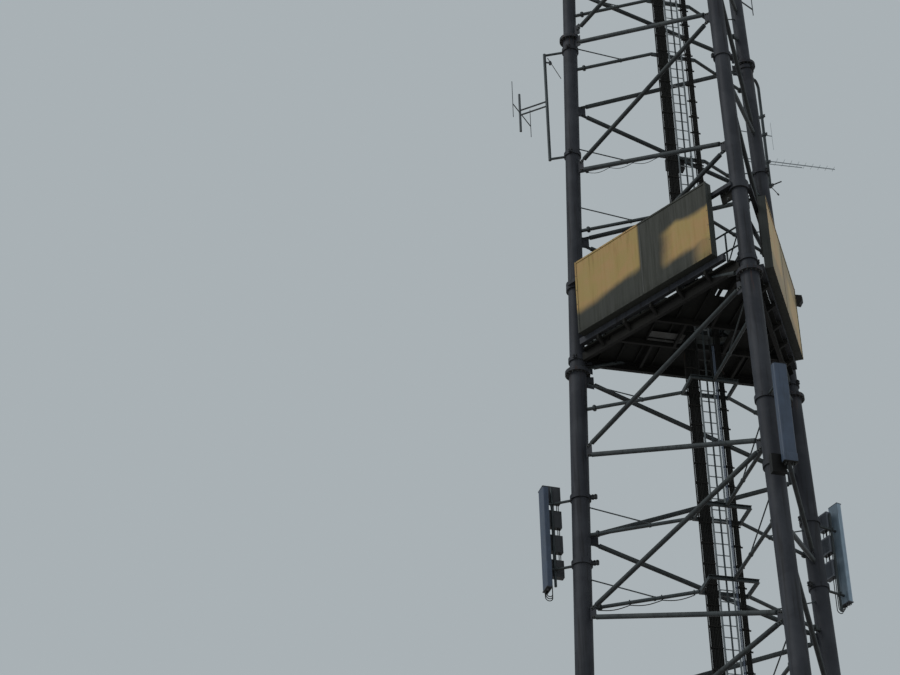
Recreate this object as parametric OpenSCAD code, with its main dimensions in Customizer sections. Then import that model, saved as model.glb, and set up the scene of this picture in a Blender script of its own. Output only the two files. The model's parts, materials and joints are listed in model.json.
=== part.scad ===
// Three-legged lattice radio mast, six bays high, with a work platform, three blank box signs,
// a central climbing ladder with cable ladders, and antennas on brackets.
// Origin: centre of the left leg's foot plate, on its underside. X runs along the front face
// to the right leg, Y runs to the rear, Z is up.

/* [Mast] */
// Height of one bay of the face bracing
bay_h = 4020; // [3600:20:4200]
// Side of the triangle between leg centres at the foot
side_at_foot = 5860; // [5600:20:6200]
// How much that side narrows in each metre of height
side_loss = 52; // [40:1:60]
// Height of the lowest bracing node
first_node_z = 1130; // [1000:10:1300]
// How far the odd bracing nodes sit above the middle of their bay
odd_rise = 100; // [0:10:120]
// Height of the lowest leg joint above the bracing node below it
joint_rise = 160; // [140:10:200]
// Height of a joint's bracing ends above and below it
joint_split = 100; // [80:5:120]
// Length of leg above the highest bracing node
leg_end_rise = 900; // [700:50:1000]

/* [Legs] */
// Diameter of the lower leg tubes
leg_d_lower = 406.4; // [380:0.1:420]
// Diameter of the middle leg tubes
leg_d_middle = 355.6; // [340:0.1:370]
// Diameter of the top leg tubes
leg_d_top = 323.9; // [300:0.1:335]
// How far a joint flange stands out from the tube
flange_out = 85; // [70:1:95]
// Thickness of one joint flange
flange_t = 40; // [30:1:44]
// How far a clamp band stands out from the tube
band_out = 32; // [20:1:40]
// Height of a clamp band
band_h = 110; // [80:5:130]
// How far a sign's clamp stands out from the tube
sign_band_out = 48; // [40:1:60]
// Height of a sign's clamp
sign_band_h = 210; // [180:5:220]
// Diameter of a foot plate
foot_d = 820; // [760:10:900]
// Thickness of a foot plate
foot_t = 50; // [40:1:60]
// Diameter of the circle of anchor holes
anchor_pcd = 690; // [660:5:710]
// Diameter of an anchor hole
anchor_d = 36; // [30:1:39]
// Number of anchor holes in each foot
anchor_n = 12; // [8:4:12]
// Height of the foot ribs above the foot plate
rib_h = 260; // [200:10:320]
// Thickness of a foot rib
rib_t = 15; // [10:1:20]

/* [Bracing] */
// Diameter of the face bracing tubes
brace_d = 108; // [90:1:115]
// Thickness of a node plate
plate_t = 15; // [10:1:20]
// How far a node plate stands out from the leg
plate_out = 175; // [160:5:180]
// Height of a node plate at the leg
plate_h = 300; // [280:5:300]
// Height of a node plate at its outer edge
plate_end_h = 330; // [300:5:330]
// Height of the plates of a joint above and below it
joint_plate = 200; // [200:5:220]
// Distance from the node to the round end of a bracing tube
brace_gap = 430; // [430:5:470]
// Distance from the node to the flat tip of a bracing tube
tip_gap = 270; // [260:5:285]
// Width of the flat tip
tip_w = 80; // [70:1:90]
// Thickness of the flat tip
tip_t = 12; // [10:1:15]
// Diameter of the tubes that close the mast's top
ring_d = 88.9; // [76:0.1:102]

/* [Inner supports] */
// Height of the upper supports above each joint and half section
support_above = 800; // [790:10:900]
// Depth of the lower supports below each joint and half section
support_below = 990; // [900:10:1050]
// Diameter of the support pipes
support_d = 82.5; // [70:0.5:90]
// Diameter of the bolted collars on the support pipes
collar_d = 150; // [130:1:165]
// Thickness of a bolted collar
collar_t = 36; // [30:1:44]
// Distance of the bolted collar from the leg's surface
collar_gap = 150; // [120:5:180]
// Diameter of the tie rods
tie_d = 30; // [25:1:36]
// Height of a tie rod's upper end above its support pipe
tie_rise = 780; // [720:10:850]
// Share of the support pipe's length at which the tie rod lands
tie_share = 0.62; // [0.5:0.01:0.68]
// Length of the centre frames
frame_l = 1110; // [1050:10:1150]
// Width of the centre frames between their beams
frame_w = 680; // [640:10:720]
// Height of the centre frames' channels
beam_h = 90; // [80:1:100]
// Width of the centre frames' channels
beam_w = 50; // [40:1:60]
// Wall of the centre frames' channels
beam_wall = 8; // [6:0.5:10]

/* [Ladder and cables] */
// Width of the climbing ladder between its stiles
ladder_w = 320; // [300:5:340]
// Diameter of a ladder stile
stile_d = 42; // [34:1:48]
// Diameter of a rung
rung_d = 25; // [20:1:28]
// Distance from rung to rung
rung_pitch = 280; // [250:5:300]
// Place of the ladder along the centre frame
ladder_u = 35; // [20:5:50]
// Width of the fall-arrest rail
rail_w = 40; // [30:1:50]
// Depth of the fall-arrest rail
rail_t = 24; // [18:1:30]
// Width of the wide cable ladder
wide_w = 280; // [260:5:290]
// Width of the narrow cable ladder
narrow_w = 150; // [140:5:170]
// Distance between the steps of the cable ladders
cable_step = 500; // [400:10:600]
// Gap between the climbing ladder and the wide cable ladder
ladder_gap = 6; // [5:1:15]
// Gap between the climbing ladder and the narrow cable ladder
narrow_gap = 90; // [85:1:95]
// How far the narrow cable ladder's steps stand out at each side
step_out = 60; // [50:1:65]
// Diameter of a feeder cable
cable_d = 30; // [28:1:31]
// Gap between feeder cables
cable_gap = 4; // [4:0.5:6]
// Diameter of the thin cables
thin_d = 16; // [12:1:18]
// Number of thin cables
thin_n = 3; // [2:1:3]
// Height of the lower ends of the ladders
ladder_foot_z = 350; // [250:10:450]

/* [Platform and signs] */
// Height of the platform beams above the middle leg joint
platform_rise = 350; // [330:5:380]
// Depth of the platform's edge beams
edge_h = 200; // [180:5:220]
// Width of the platform's edge beams
edge_w = 90; // [75:1:100]
// Wall of the platform's edge beams
edge_wall = 10; // [8:0.5:12]
// Depth of the joists
joist_h = 140; // [120:5:160]
// Thickness of the floor plates
floor_t = 40; // [30:1:50]
// Overhang of the floor past the line between the leg centres
floor_out = 150; // [110:5:160]
// Length of the floor's hatch along the centre frame
hatch_l = 1120; // [1060:10:1200]
// Width of the floor's hatch
hatch_w = 880; // [820:10:900]
// Height of the handrail above the floor
rail_h = 1000; // [900:10:1100]
// Distance of the handrail inside the line between the leg centres
rail_in = 100; // [95:5:130]
// Distance of the handrail's ends from the legs' centres
rail_end = 260; // [255:5:320]
// Distance of the handrail's end posts from the legs' centres
post_in = 620; // [560:10:700]
// Diameter of the handrail tubes
handrail_d = 42.4; // [38:0.1:48.3]
// Width of the front and left signs
sign_w = 4040; // [3900:10:4100]
// How much narrower the right sign is
right_less = 240; // [200:10:300]
// How far the front sign sits towards the left leg
front_shift = 70; // [0:10:90]
// How far the right sign sits towards the rear leg
right_shift = 160; // [100:10:200]
// Height of a sign
sign_h = 1990; // [1900:10:2200]
// Depth of a sign box
sign_t = 190; // [150:5:210]
// Width of a sign's rim
sign_rim = 45; // [30:1:60]
// Depth of the face below the rim
sign_recess = 12; // [8:1:20]
// Height of a sign's lower edge above the platform floor
sign_lift = 190; // [120:5:220]
// Distance of a sign's back from the line between the leg centres
sign_off = 250; // [235:1:280]
// Size of the square rails that hold the signs' upper parts
sign_arm = 100; // [80:1:110]
// Distance of those rails from a sign's upper edge
sign_arm_in = 270; // [250:5:300]
// Height of the rails below the signs' lower edges
sill_h = 160; // [140:5:165]
// How far these rails reach up behind the signs
sill_lap = 20; // [15:1:30]
// How far these rails reach past the signs' ends
sill_past = 150; // [100:10:200]
// Number of brackets under each of these rails
sill_bracket_n = 5; // [4:1:6]
// Thickness of these brackets
sill_bracket_t = 60; // [40:5:80]
// Length of the opening in the floor near the right leg
gap_l = 430; // [380:10:480]
// Width of that opening
gap_w = 300; // [260:10:320]
// Distance of that opening from the mast's axis
gap_v = 1570; // [1500:10:1600]
// Height of the lamp at the right sign
lamp_h = 300; // [250:10:340]
// Depth of the lamp
lamp_d = 180; // [150:5:220]
// Width of the lamp
lamp_w = 150; // [120:5:180]

/* [Antennas] */
// Height of the bracket pipes
bracket_l = 3350; // [3200:10:3500]
// Diameter of the bracket pipes
bracket_d = 76; // [60:0.5:80]
// Distance of a bracket pipe from the leg's centre at its lower end
bracket_out = 560; // [520:5:620]
// Depth of the bracket pipes' upper ends below the top leg joint
bracket_drop = 350; // [320:10:400]
// Radius of the bend at the top of the rear bracket
bracket_bend = 180; // [150:5:220]
// How much higher the rear bracket sits
bracket_lift = 220; // [200:5:230]
// Height of a panel antenna
panel_h = 2500; // [2300:10:2600]
// Width of a panel antenna
panel_w = 300; // [280:5:320]
// Depth of a panel antenna
panel_t = 130; // [100:5:150]
// Distance of a panel antenna's middle from the leg's centre
panel_out = 760; // [730:5:790]
// Height of the left panel antenna's lower end
panel_z = 8020; // [7950:10:8100]
// How much higher the other two panel antennas hang
panel_lift = 320; // [280:10:360]
// Height of the lower bands of the panel antennas
panel_band = 8530; // [8480:10:8580]
// Distance between the two bands of a panel antenna
band_step = 1640; // [1560:10:1680]
// How much shorter the right panel antenna is
panel_less = 350; // [300:10:380]
// Width of a radio housing
radio_w = 300; // [260:5:320]
// Depth of a radio housing
radio_t = 130; // [110:5:150]
// Height of a radio housing
radio_h = 420; // [380:10:440]
// How far the left radio housings reach past their pole towards the panel antenna
radio_in = 70; // [50:5:90]
// Distance from one radio housing to the next
radio_step = 620; // [560:10:660]
// Diameter of the jumper cables
jumper_d = 20; // [14:1:24]
// Height of the lightning rod above the leg
rod_l = 1500; // [1000:50:2000]
// Distance from a panel antenna's middle to its pole
pole_gap = 190; // [175:5:210]
// Diameter of the antenna booms
boom_d = 26; // [20:1:32]
// Diameter of the upright hub of the left antenna
hub_d = 60; // [50:1:70]
// Height of the left antenna's arms above the bracket's lower stub
dipole_up = 1770; // [1600:10:1900]
// Distance of the left antenna's hub from its bracket pipe
dipole_out = 740; // [650:10:800]
// Height of the left antenna's hub
hub_l = 1200; // [1000:10:1300]
// Distance of the left antenna's front element from its hub
front_element = 400; // [350:10:450]
// Height of that element
front_element_l = 1150; // [1000:10:1250]
// Distance of the left antenna's rear element from its hub
rear_element = 600; // [550:10:650]
// Height of that element
rear_element_l = 880; // [800:10:950]
// Height of the long boom above the rear bracket's lower stub
long_yagi_up = 800; // [650:10:900]
// Length of the long boom
long_yagi_l = 1750; // [1500:10:1900]
// Number of elements on the long boom
yagi_n = 9; // [6:1:11]
// Half length of the longest element on the long boom
yagi_half = 150; // [120:5:170]
// Diameter of the thin elements
element_d = 8; // [6:1:10]
// Height of the short boom above the rear bracket's lower stub
short_yagi_up = 1650; // [1500:10:1800]
// Length of the short boom
short_yagi_l = 170; // [140:5:200]
// Length of its upright element
short_element_l = 880; // [800:10:950]
// Depth of the whip's arm below the mast's top
whip_drop = 300; // [250:10:400]
// Distance of the whip from the leg's centre
whip_out = 700; // [600:10:800]
// Length of the whip above its arm
whip_l = 1900; // [1500:50:2200]

/* [Hidden] */
$fn = 48;

steel = [0.20, 0.22, 0.24];
galvanised = [0.42, 0.44, 0.45];
dark = [0.08, 0.08, 0.09];
sign_colour = [0.72, 0.62, 0.42];
panel_colour = [0.45, 0.50, 0.55];

// Legs 0, 1 and 2 are left, right and rear. Face f lies between leg f and the next one.
leg_angle = [210, 330, 90];
half_bay = bay_h / 2;
last_node = 12;
middle_node = 6;
top_joint_node = 11;
centre = [side_at_foot / 2, side_at_foot / (2 * sqrt(3)), 0];
lean = atan(side_loss / sqrt(3) / 1000);
joint_gap = 1.5;

function side(z) = side_at_foot - side_loss * z / 1000;
function leg_r(z) = side(z) / sqrt(3);
function spoke(a) = [cos(a), sin(a), 0];
function leg_at(k, z) = centre + leg_r(z) * spoke(leg_angle[k % 3]) + [0, 0, z];
function node_z(n) = first_node_z + n * half_bay + (n % 2) * odd_rise;
function has_joint(n) = n % 5 == 1;
function joint_z(n) = node_z(1) + joint_rise + (n - 1) * half_bay;
function end_z(n, s) = has_joint(n) ? joint_z(n) + s * joint_split : node_z(n);
function leg_d(z) = z < joint_z(middle_node) ? leg_d_lower
    : z < joint_z(top_joint_node) ? leg_d_middle : leg_d_top;
function unit(v) = v / norm(v);
function beside(k, z, out, turn) = leg_at(k, z) + out * spoke(leg_angle[k] + turn);

foot_joint = joint_z(1);
middle_joint = joint_z(middle_node);
top_joint = joint_z(top_joint_node);
mast_top = node_z(last_node) + leg_end_rise;

// Frame coordinates: u runs along the centre frames, v across them towards the right leg.
frame_turn = 60;
function plan(u, v, z) = centre + [u * cos(frame_turn) + v * sin(frame_turn),
    u * sin(frame_turn) - v * cos(frame_turn), z];
back_v = -frame_w / 2;
front_v = frame_w / 2;
ladder_off = 40;
ladder_v = back_v + beam_w / 2 + stile_d / 2 + ladder_off;
half_section = (middle_joint - foot_joint) / 2;
// Below the signs the centre frames are full and hold all legs. Above, one beam holds two of them.
support_z = [for (n = [0:4], s = [-support_below, support_above]) foot_joint + n * half_section + s];
function is_full(z) = z < middle_joint + half_section / 2;
function held_legs(z) = is_full(z) ? [0, 1, 2] : [0, 2];

floor_z = middle_joint + platform_rise + edge_h / 2;
sign_z = floor_z + floor_t + sign_lift;
sign_rail_z = sign_z + sign_h - sign_arm_in;
sill_z = sign_z + sill_lap - sill_h;
function sign_width(f) = sign_w - (f == 1 ? right_less : 0);
function sign_shift(f) = f == 0 ? -front_shift : f == 1 ? right_shift : 0;

bracket_turn = [5, 0, 14];
panel_turn = [6, 2, -12];
panel_face = [34, 2, -12];
whip_turn = 0;
panel_band_z = [panel_band, panel_band + band_step];
function bracket_z(k) = top_joint - bracket_drop - bracket_l + (k == 2 ? bracket_lift : 0);
function panel_foot(k) = panel_z + (k == 0 ? 0 : panel_lift);

// A round bar from point a to point b
module bar(a, b, d) {
    v = b - a;
    translate(a)
        rotate([0, acos(v[2] / norm(v)), atan2(v[1], v[0])])
            cylinder(d = d, h = norm(v));
}

// Places children on leg k at height z, with their own z axis along the leg
module on_leg(k, z) {
    translate(leg_at(k, z))
        rotate([0, 0, leg_angle[k]])
            rotate([0, -lean, 0])
                children();
}

// Places children at a point of the frame coordinates, with their x axis along u
module in_plan(u, v, z) {
    translate(plan(u, v, z)) rotate([0, 0, frame_turn]) children();
}

// A stretch of leg tube between two heights
module leg_tube(k, z0, z1, d) {
    color(steel)
        on_leg(k, z0) cylinder(d = d, h = norm(leg_at(k, z1) - leg_at(k, z0)));
}

// The lower stretch is cut level where it stands on its foot plate
module leg_lower(k) {
    difference() {
        leg_tube(k, 0, middle_joint, leg_d_lower);
        translate(leg_at(k, 0) - [leg_d_lower, leg_d_lower, foot_d - foot_t])
            cube([2 * leg_d_lower, 2 * leg_d_lower, foot_d]);
    }
}

module leg_middle(k) {
    leg_tube(k, middle_joint, top_joint, leg_d_middle);
}

module leg_tops() {
    for (k = [0:2]) leg_tube(k, top_joint, mast_top - flange_t, leg_d_top);
}

module foot_plates() {
    color(steel)
        for (k = [0:2])
            translate(leg_at(k, 0))
                difference() {
                    cylinder(d = foot_d, h = foot_t);
                    for (i = [0:anchor_n - 1])
                        rotate([0, 0, (i + 0.5) * 360 / anchor_n])
                            translate([anchor_pcd / 2, 0, -1]) cylinder(d = anchor_d, h = foot_t + 2);
                }
}

// Upright ribs around each leg, between the anchor holes
module foot_ribs() {
    reach = leg_d_lower / 2 + rib_h * sin(lean);
    color(steel)
        for (k = [0:2], i = [0:anchor_n - 1])
            translate(leg_at(k, foot_t))
                rotate([90, 0, i * 360 / anchor_n])
                    translate([0, 0, -rib_t / 2])
                        linear_extrude(rib_t)
                            polygon([[reach, 0], [foot_d / 2 - 20, 0], [foot_d / 2 - 20, 40],
                                [reach, rib_h]]);
}

// A ring around leg k from one height along the leg, out to diameter d
module leg_ring(k, z, h, d) {
    on_leg(k, z)
        difference() {
            cylinder(d = d, h = h);
            translate([0, 0, -1]) cylinder(d = leg_d(z + h / 2), h = h + 2);
        }
}

// Pairs of bolted rings at the joints, and a closed cap on each leg
module leg_flanges() {
    color(steel)
        for (k = [0:2]) {
            for (z = [foot_joint, middle_joint, top_joint]) {
                d = leg_d(z - 1) + 2 * flange_out;
                leg_ring(k, z - flange_t - joint_gap, flange_t, d);
                leg_ring(k, z + joint_gap, flange_t, d);
            }
            on_leg(k, mast_top - flange_t) cylinder(d = leg_d_top + flange_out, h = flange_t);
        }
}

// Clamp bands for the platform, the sign arms and the antenna brackets
module clamp_bands() {
    color(steel)
        for (k = [0:2]) {
            for (z = [panel_band_z[0], panel_band_z[1], beam_z, bracket_z(k)])
                leg_ring(k, z - band_h / 2, band_h, leg_d(z) + 2 * band_out);
            leg_ring(k, sign_rail_z - sign_band_h / 2, sign_band_h, leg_d_middle + 2 * sign_band_out);
            if (k != 1)
                leg_ring(k, bracket_z(k) + bracket_l - band_h / 2, band_h, leg_d_middle + 2 * band_out);
        }
}

// Plates welded to the legs, where the bracing tubes of one face meet
module node_plates() {
    color(steel)
        for (f = [0:2], n = [0:last_node], s = has_joint(n) ? [-1, 1] : [0]) {
            here = n % 2 == 1 ? f : (f + 1) % 3;
            there = n % 2 == 1 ? (f + 1) % 3 : f;
            z = s == 0 ? node_z(n) : joint_z(n) + s * joint_plate;
            p = leg_at(here, z);
            q = leg_at(there, z);
            r = leg_d(z) / 2 - 1;
            translate(p)
                rotate([90, 0, atan2(q[1] - p[1], q[0] - p[0])])
                    translate([0, 0, -plate_t / 2])
                        linear_extrude(plate_t)
                            polygon([[r, -plate_h / 2], [r + plate_out * 0.3, -plate_h / 2],
                                [r + plate_out, -plate_end_h / 2], [r + plate_out, plate_end_h / 2],
                                [r + plate_out * 0.3, plate_h / 2], [r, plate_h / 2]]);
        }
}

// One bracing tube between two nodes, with flat tips that lap the node plates
module brace(a, b) {
    v = unit(b - a);
    long = norm(b - a);
    lap = (plate_t + tip_t) / 2;
    bar(a + brace_gap * v, b - brace_gap * v, brace_d);
    translate(a)
        rotate([0, acos(v[2]), atan2(v[1], v[0])])
            for (z = [tip_gap, long - brace_gap - 40])
                translate([-tip_w / 2, -lap - tip_t / 2, z])
                    cube([tip_w, tip_t, brace_gap - tip_gap + 40]);
}

// The zigzag of bracing tubes in face f
module zigzag(f) {
    color(steel)
        for (n = [0:last_node - 1]) {
            low = n % 2 == 1 ? f : (f + 1) % 3;
            high = n % 2 == 1 ? (f + 1) % 3 : f;
            brace(leg_at(low, end_z(n, 1)), leg_at(high, end_z(n + 1, -1)));
        }
}

ring_drop = 200;

// Three level tubes between the legs, just below the mast's top
module top_ring() {
    z = mast_top - ring_drop;
    color(steel)
        for (k = [0:2]) {
            a = leg_at(k, z);
            b = leg_at(k + 1, z);
            v = unit(b - a);
            gap = leg_d_top / 2 - 1;
            bar(a + gap * v, b - gap * v, ring_d);
        }
}

// Level pipes from the legs to the centre frames, with a bolted collar near each leg
module support_pipes() {
    color(galvanised)
        for (z = support_z, k = held_legs(z)) {
            a = leg_at(k, z);
            b = support_end(k, z);
            v = unit(b - a);
            start = leg_d(z) / 2 - 1;
            bar(a + start * v, b, support_d);
            bar(a + (start + collar_gap) * v, a + (start + collar_gap + collar_t) * v, collar_d);
        }
}

function support_end(k, z) =
    k == 1 ? plan(0, front_v - beam_w / 2 + beam_wall, z)
    : plan((k - 1) * (frame_l / 2 - joint_gap), back_v + beam_w / 4, z);

// Thin rods from the legs down to the support pipes
module tie_rods() {
    color(galvanised)
        for (z = support_z, k = held_legs(z)) {
            a = leg_at(k, z + tie_rise);
            b = leg_at(k, z) + tie_share * (support_end(k, z) - leg_at(k, z)) + [0, 0, support_d / 2];
            v = unit(b - a);
            bar(a + (leg_d(z + tie_rise) / 2 - 1) * v, b, tie_d);
        }
}

// A channel of length l along x, open towards positive y
module channel(l, h, w, wall) {
    translate([-l / 2, 0, 0])
        rotate([90, 0, 90])
            linear_extrude(l)
                polygon([[-w / 2, -h / 2], [w / 2, -h / 2], [w / 2, -h / 2 + wall], [-w / 2 + wall, -h / 2 + wall],
                    [-w / 2 + wall, h / 2 - wall], [w / 2, h / 2 - wall], [w / 2, h / 2], [-w / 2, h / 2]]);
}

module frame_beams() {
    color(galvanised)
        for (z = support_z) {
            in_plan(0, back_v, z) channel(frame_l, beam_h, beam_w, beam_wall);
            if (is_full(z))
                in_plan(0, front_v, z) rotate([0, 0, 180]) channel(frame_l, beam_h, beam_w, beam_wall);
        }
}

module frame_links() {
    color(galvanised)
        for (z = support_z, s = is_full(z) ? [-1, 1] : [])
            in_plan(s * (frame_l / 2 - beam_w / 2), 0, z)
                cube([beam_w, frame_w - beam_w, beam_h], center = true);
}

ladder_stop = 150;
ladder_top = mast_top - ladder_stop;
rung_count = floor((ladder_top - ladder_foot_z - rung_pitch) / rung_pitch);
rung_l = ladder_w - stile_d - 2 * joint_gap;

// Two stiles and their rungs, on the back beams of the centre frames
module climbing_ladder() {
    color(galvanised) {
        for (s = [-1, 1])
            in_plan(ladder_u + s * ladder_w / 2, ladder_v, ladder_foot_z)
                cylinder(d = stile_d, h = ladder_top - ladder_foot_z, $fn = 24);
        for (i = [0:rung_count])
            in_plan(ladder_u - rung_l / 2, ladder_v, ladder_foot_z + rung_pitch / 2 + i * rung_pitch)
                rotate([0, 90, 0]) cylinder(d = rung_d, h = rung_l);
    }
}

// A T-shaped rail on the rungs, for the climber's safety slider
module fall_arrest_rail() {
    color(galvanised)
        in_plan(ladder_u, ladder_v + rung_d / 2 + rail_t + 1, ladder_foot_z)
            linear_extrude(ladder_top - ladder_foot_z)
                polygon([[-rail_w / 2, 0], [rail_w / 2, 0], [rail_w / 2, 6], [4, 6], [4, rail_t], [-4, rail_t],
                    [-4, 6], [-rail_w / 2, 6]]);
}

wide_u = ladder_u - ladder_w / 2 - stile_d / 2 - ladder_gap - wide_w / 2;
narrow_u = ladder_u + ladder_w / 2 + stile_d / 2 + narrow_gap + narrow_w / 2;
box_w = 430;
box_t = 180;
box_h = 330;
box_u = ladder_u - box_w / 2 + 20;
tray_side = 12;
tray_depth = 50;
tray_v = back_v + beam_w / 2 + tray_depth / 2;

module cable_ladder(u, w, out) {
    long = ladder_top - ladder_foot_z;
    for (s = [-1, 1])
        in_plan(u + s * (w - tray_side) / 2, tray_v, ladder_foot_z + long / 2)
            cube([tray_side, tray_depth, long], center = true);
    for (z = [cable_step / 2:cable_step:long])
        in_plan(u, tray_v - tray_depth / 8, ladder_foot_z + z)
            cube([w - tray_side + 2 * out, tray_depth / 2, 30], center = true);
}

module cable_ladders() {
    color(galvanised) {
        cable_ladder(wide_u, wide_w, 0);
        cable_ladder(narrow_u, narrow_w, step_out);
    }
}

// Straight feeder cables, side by side in front of the cable ladders
module feeder_cables() {
    color(dark)
        for (t = [[wide_u, wide_w], [narrow_u, narrow_w]]) {
            count = floor((t[1] - 2 * tray_side) / (cable_d + cable_gap));
            for (i = [0:count - 1])
                in_plan(t[0] + (i - (count - 1) / 2) * (cable_d + cable_gap),
                        tray_v + tray_depth / 8 + cable_d / 2 + 1, ladder_foot_z)
                    cylinder(d = cable_d, h = ladder_top - ladder_foot_z, $fn = 24);
        }
}

// Thin cables on the ends of the narrow ladder's steps, up to the platform
module thin_cables() {
    color(panel_colour)
        for (i = [0:thin_n - 1])
            in_plan(narrow_u - narrow_w / 2 - thin_d - i * (thin_d + cable_gap),
                    tray_v + tray_depth / 8 + thin_d / 2 + 1, ladder_foot_z)
                cylinder(d = thin_d, h = beam_z - ladder_foot_z, $fn = 24);
}

// A closed box behind the beam of one of the upper centre frames
module junction_box() {
    color(dark)
        in_plan(box_u, back_v - beam_w / 2 - box_t / 2, support_z[7] - box_h / 2 + beam_h / 2)
            cube([box_w, box_t, box_h], center = true);
}

beam_z = middle_joint + platform_rise;

// Edge beams of the platform, from leg to leg
module platform_beams() {
    color(steel)
        for (k = [0:2]) {
            a = leg_at(k, beam_z);
            b = leg_at(k + 1, beam_z);
            gap = leg_d_middle / 2 + band_out;
            translate((a + b) / 2)
                rotate([0, 0, atan2(b[1] - a[1], b[0] - a[0])])
                    channel(norm(b - a) - 2 * gap, edge_h, edge_w, edge_wall);
        }
}

// Distance of the edge beams' inner faces from the mast's axis
edge_in = side(beam_z) / (2 * sqrt(3)) - edge_w / 2;
hatch_v = 0;
hatch_u = 0;
joist_w = 60;
joist_z = floor_z - joist_h / 2;
side_joist_u = 1100;
joist_stop = 500;

// Half length of the floor along u, where the front and right faces cut it at v
function reach(v) = (2 * edge_in - v) / sqrt(3);

module joist(u0, v0, u1, v1) {
    a = plan(u0, v0, joist_z);
    b = plan(u1, v1, joist_z);
    translate((a + b) / 2)
        rotate([0, 0, atan2(b[1] - a[1], b[0] - a[0])])
            cube([norm(b - a), joist_w, joist_h], center = true);
}

module platform_joists() {
    v0 = hatch_v - hatch_w / 2 - joist_w / 2;
    v1 = hatch_v + hatch_w / 2 + joist_w / 2;
    color(steel) {
        joist(-reach(v0) + 40, v0, reach(v0) - 40, v0);
        joist(-reach(v1) + 40, v1, reach(v1) - 40, v1);
        for (s = [-1, 1]) {
            u = s * (hatch_l / 2 + joist_w / 2);
            joist(u, v0 + joist_w / 2 + 1, u, v1 - joist_w / 2 - 1);
            joist(s * side_joist_u, -edge_in, s * side_joist_u, v0 - joist_w / 2 - 1);
        }
        joist(0, v1 + joist_w / 2 + 1, 0, 2 * edge_in - joist_stop);
    }
}

gap_u = -35;

// Half width of the floor at v, and its plates around the hatch, cut back at the legs
floor_edge = side(floor_z) / (2 * sqrt(3)) + floor_out;
floor_tip = leg_r(floor_z) - leg_d_middle / 2 - band_out - 10;
function floor_u(v) = (2 * floor_edge - v) / sqrt(3);

module platform_floor() {
    lo = hatch_v - hatch_w / 2;
    hi = hatch_v + hatch_w / 2;
    corner = [(floor_tip + floor_edge) / sqrt(3), floor_edge - floor_tip];
    back = [(2 * floor_tip - floor_edge) / sqrt(3), -floor_edge];
    color(dark)
        difference() {
            for (outline = [
                [[-back[0], back[1]], back, corner, [floor_u(lo), lo - 5], [-floor_u(lo), lo - 5],
                    [-corner[0], corner[1]]],
                [[-floor_u(hi), hi + 5], [floor_u(hi), hi + 5], [floor_u(floor_tip), floor_tip],
                    [-floor_u(floor_tip), floor_tip]],
                [[-floor_u(lo), lo], [-hatch_l / 2, lo], [-hatch_l / 2, hi], [-floor_u(hi), hi]],
                [[hatch_l / 2, lo], [floor_u(lo), lo], [floor_u(hi), hi], [hatch_l / 2, hi]]])
                translate([0, 0, floor_z])
                    linear_extrude(floor_t)
                        polygon([for (p = outline) [plan(p[0], p[1], 0)[0], plan(p[0], p[1], 0)[1]]]);
            in_plan(gap_u, gap_v, floor_z + floor_t / 2)
                cube([gap_l, gap_w, 2 * floor_t], center = true);
        }
}

// A rail frame inside each sign: an upper rail on four posts, and a middle rail between them
module handrail() {
    half = side(floor_z) / 2 - post_in;
    tip = side(floor_z) / 2 - rail_end;
    past = handrail_d / 2 + joint_gap;
    color(galvanised)
        for (k = [0:2])
            translate([centre[0], centre[1], floor_z + floor_t])
                rotate([0, 0, leg_angle[k] + 60])
                    translate([side(floor_z) / (2 * sqrt(3)) - rail_in, 0, 0]) {
                        level(-tip, tip, rail_h);
                        for (n = [0:3])
                            translate([0, -half + n * 2 * half / 3, 0])
                                cylinder(d = handrail_d, h = rail_h - past);
                        for (n = [0:2])
                            level((2 * n / 3 - 1) * half + past, (2 * n / 3 - 1 / 3) * half - past, rail_h / 2);
                        level(-tip, -half - past, rail_h / 2);
                        level(half + past, tip, rail_h / 2);
                    }
}

// A level handrail tube at height z, from one place along the face to another
module level(from, to, z) {
    translate([0, from, z]) rotate([-90, 0, 0]) cylinder(d = handrail_d, h = to - from);
}

// Places children at the middle of face f's sign, with x outwards from the mast
module at_sign(f) {
    translate([centre[0], centre[1], sign_z + sign_h / 2])
        rotate([0, 0, leg_angle[f] + 60])
            translate([side(sign_z) / (2 * sqrt(3)) + sign_off, 0, 0])
                children();
}

// A blank box sign with a raised rim around its face
module sign(f) {
    color(sign_colour)
        at_sign(f)
            difference() {
                translate([0, sign_shift(f) - sign_width(f) / 2, -sign_h / 2])
                    cube([sign_t, sign_width(f), sign_h]);
                translate([sign_t - sign_recess, sign_shift(f) + sign_rim - sign_width(f) / 2, sign_rim - sign_h / 2])
                    cube([sign_recess + 1, sign_width(f) - 2 * sign_rim, sign_h - 2 * sign_rim]);
            }
}

// Square rails behind the signs' upper parts, from clamp to clamp, and deeper ones at their lower edges
module sign_arms() {
    clamp_d = leg_d_middle + 2 * sign_band_out + 2 * joint_gap;
    color(steel)
        for (f = [0:2]) {
            difference() {
                at_sign(f)
                    translate([-sign_arm, -side(sign_rail_z) / 2, sign_h / 2 - sign_arm_in - sign_arm / 2])
                        cube([sign_arm, side(sign_rail_z), sign_arm]);
                for (k = [f, (f + 1) % 3])
                    on_leg(k, sign_rail_z - sign_band_h) cylinder(d = clamp_d, h = 2 * sign_band_h);
            }
            at_sign(f)
                translate([-sign_arm, sign_shift(f) - sign_width(f) / 2 - sill_past, sill_lap - sign_h / 2 - sill_h])
                    cube([sign_arm, sign_width(f) + 2 * sill_past, sill_h]);
        }
}

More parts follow.
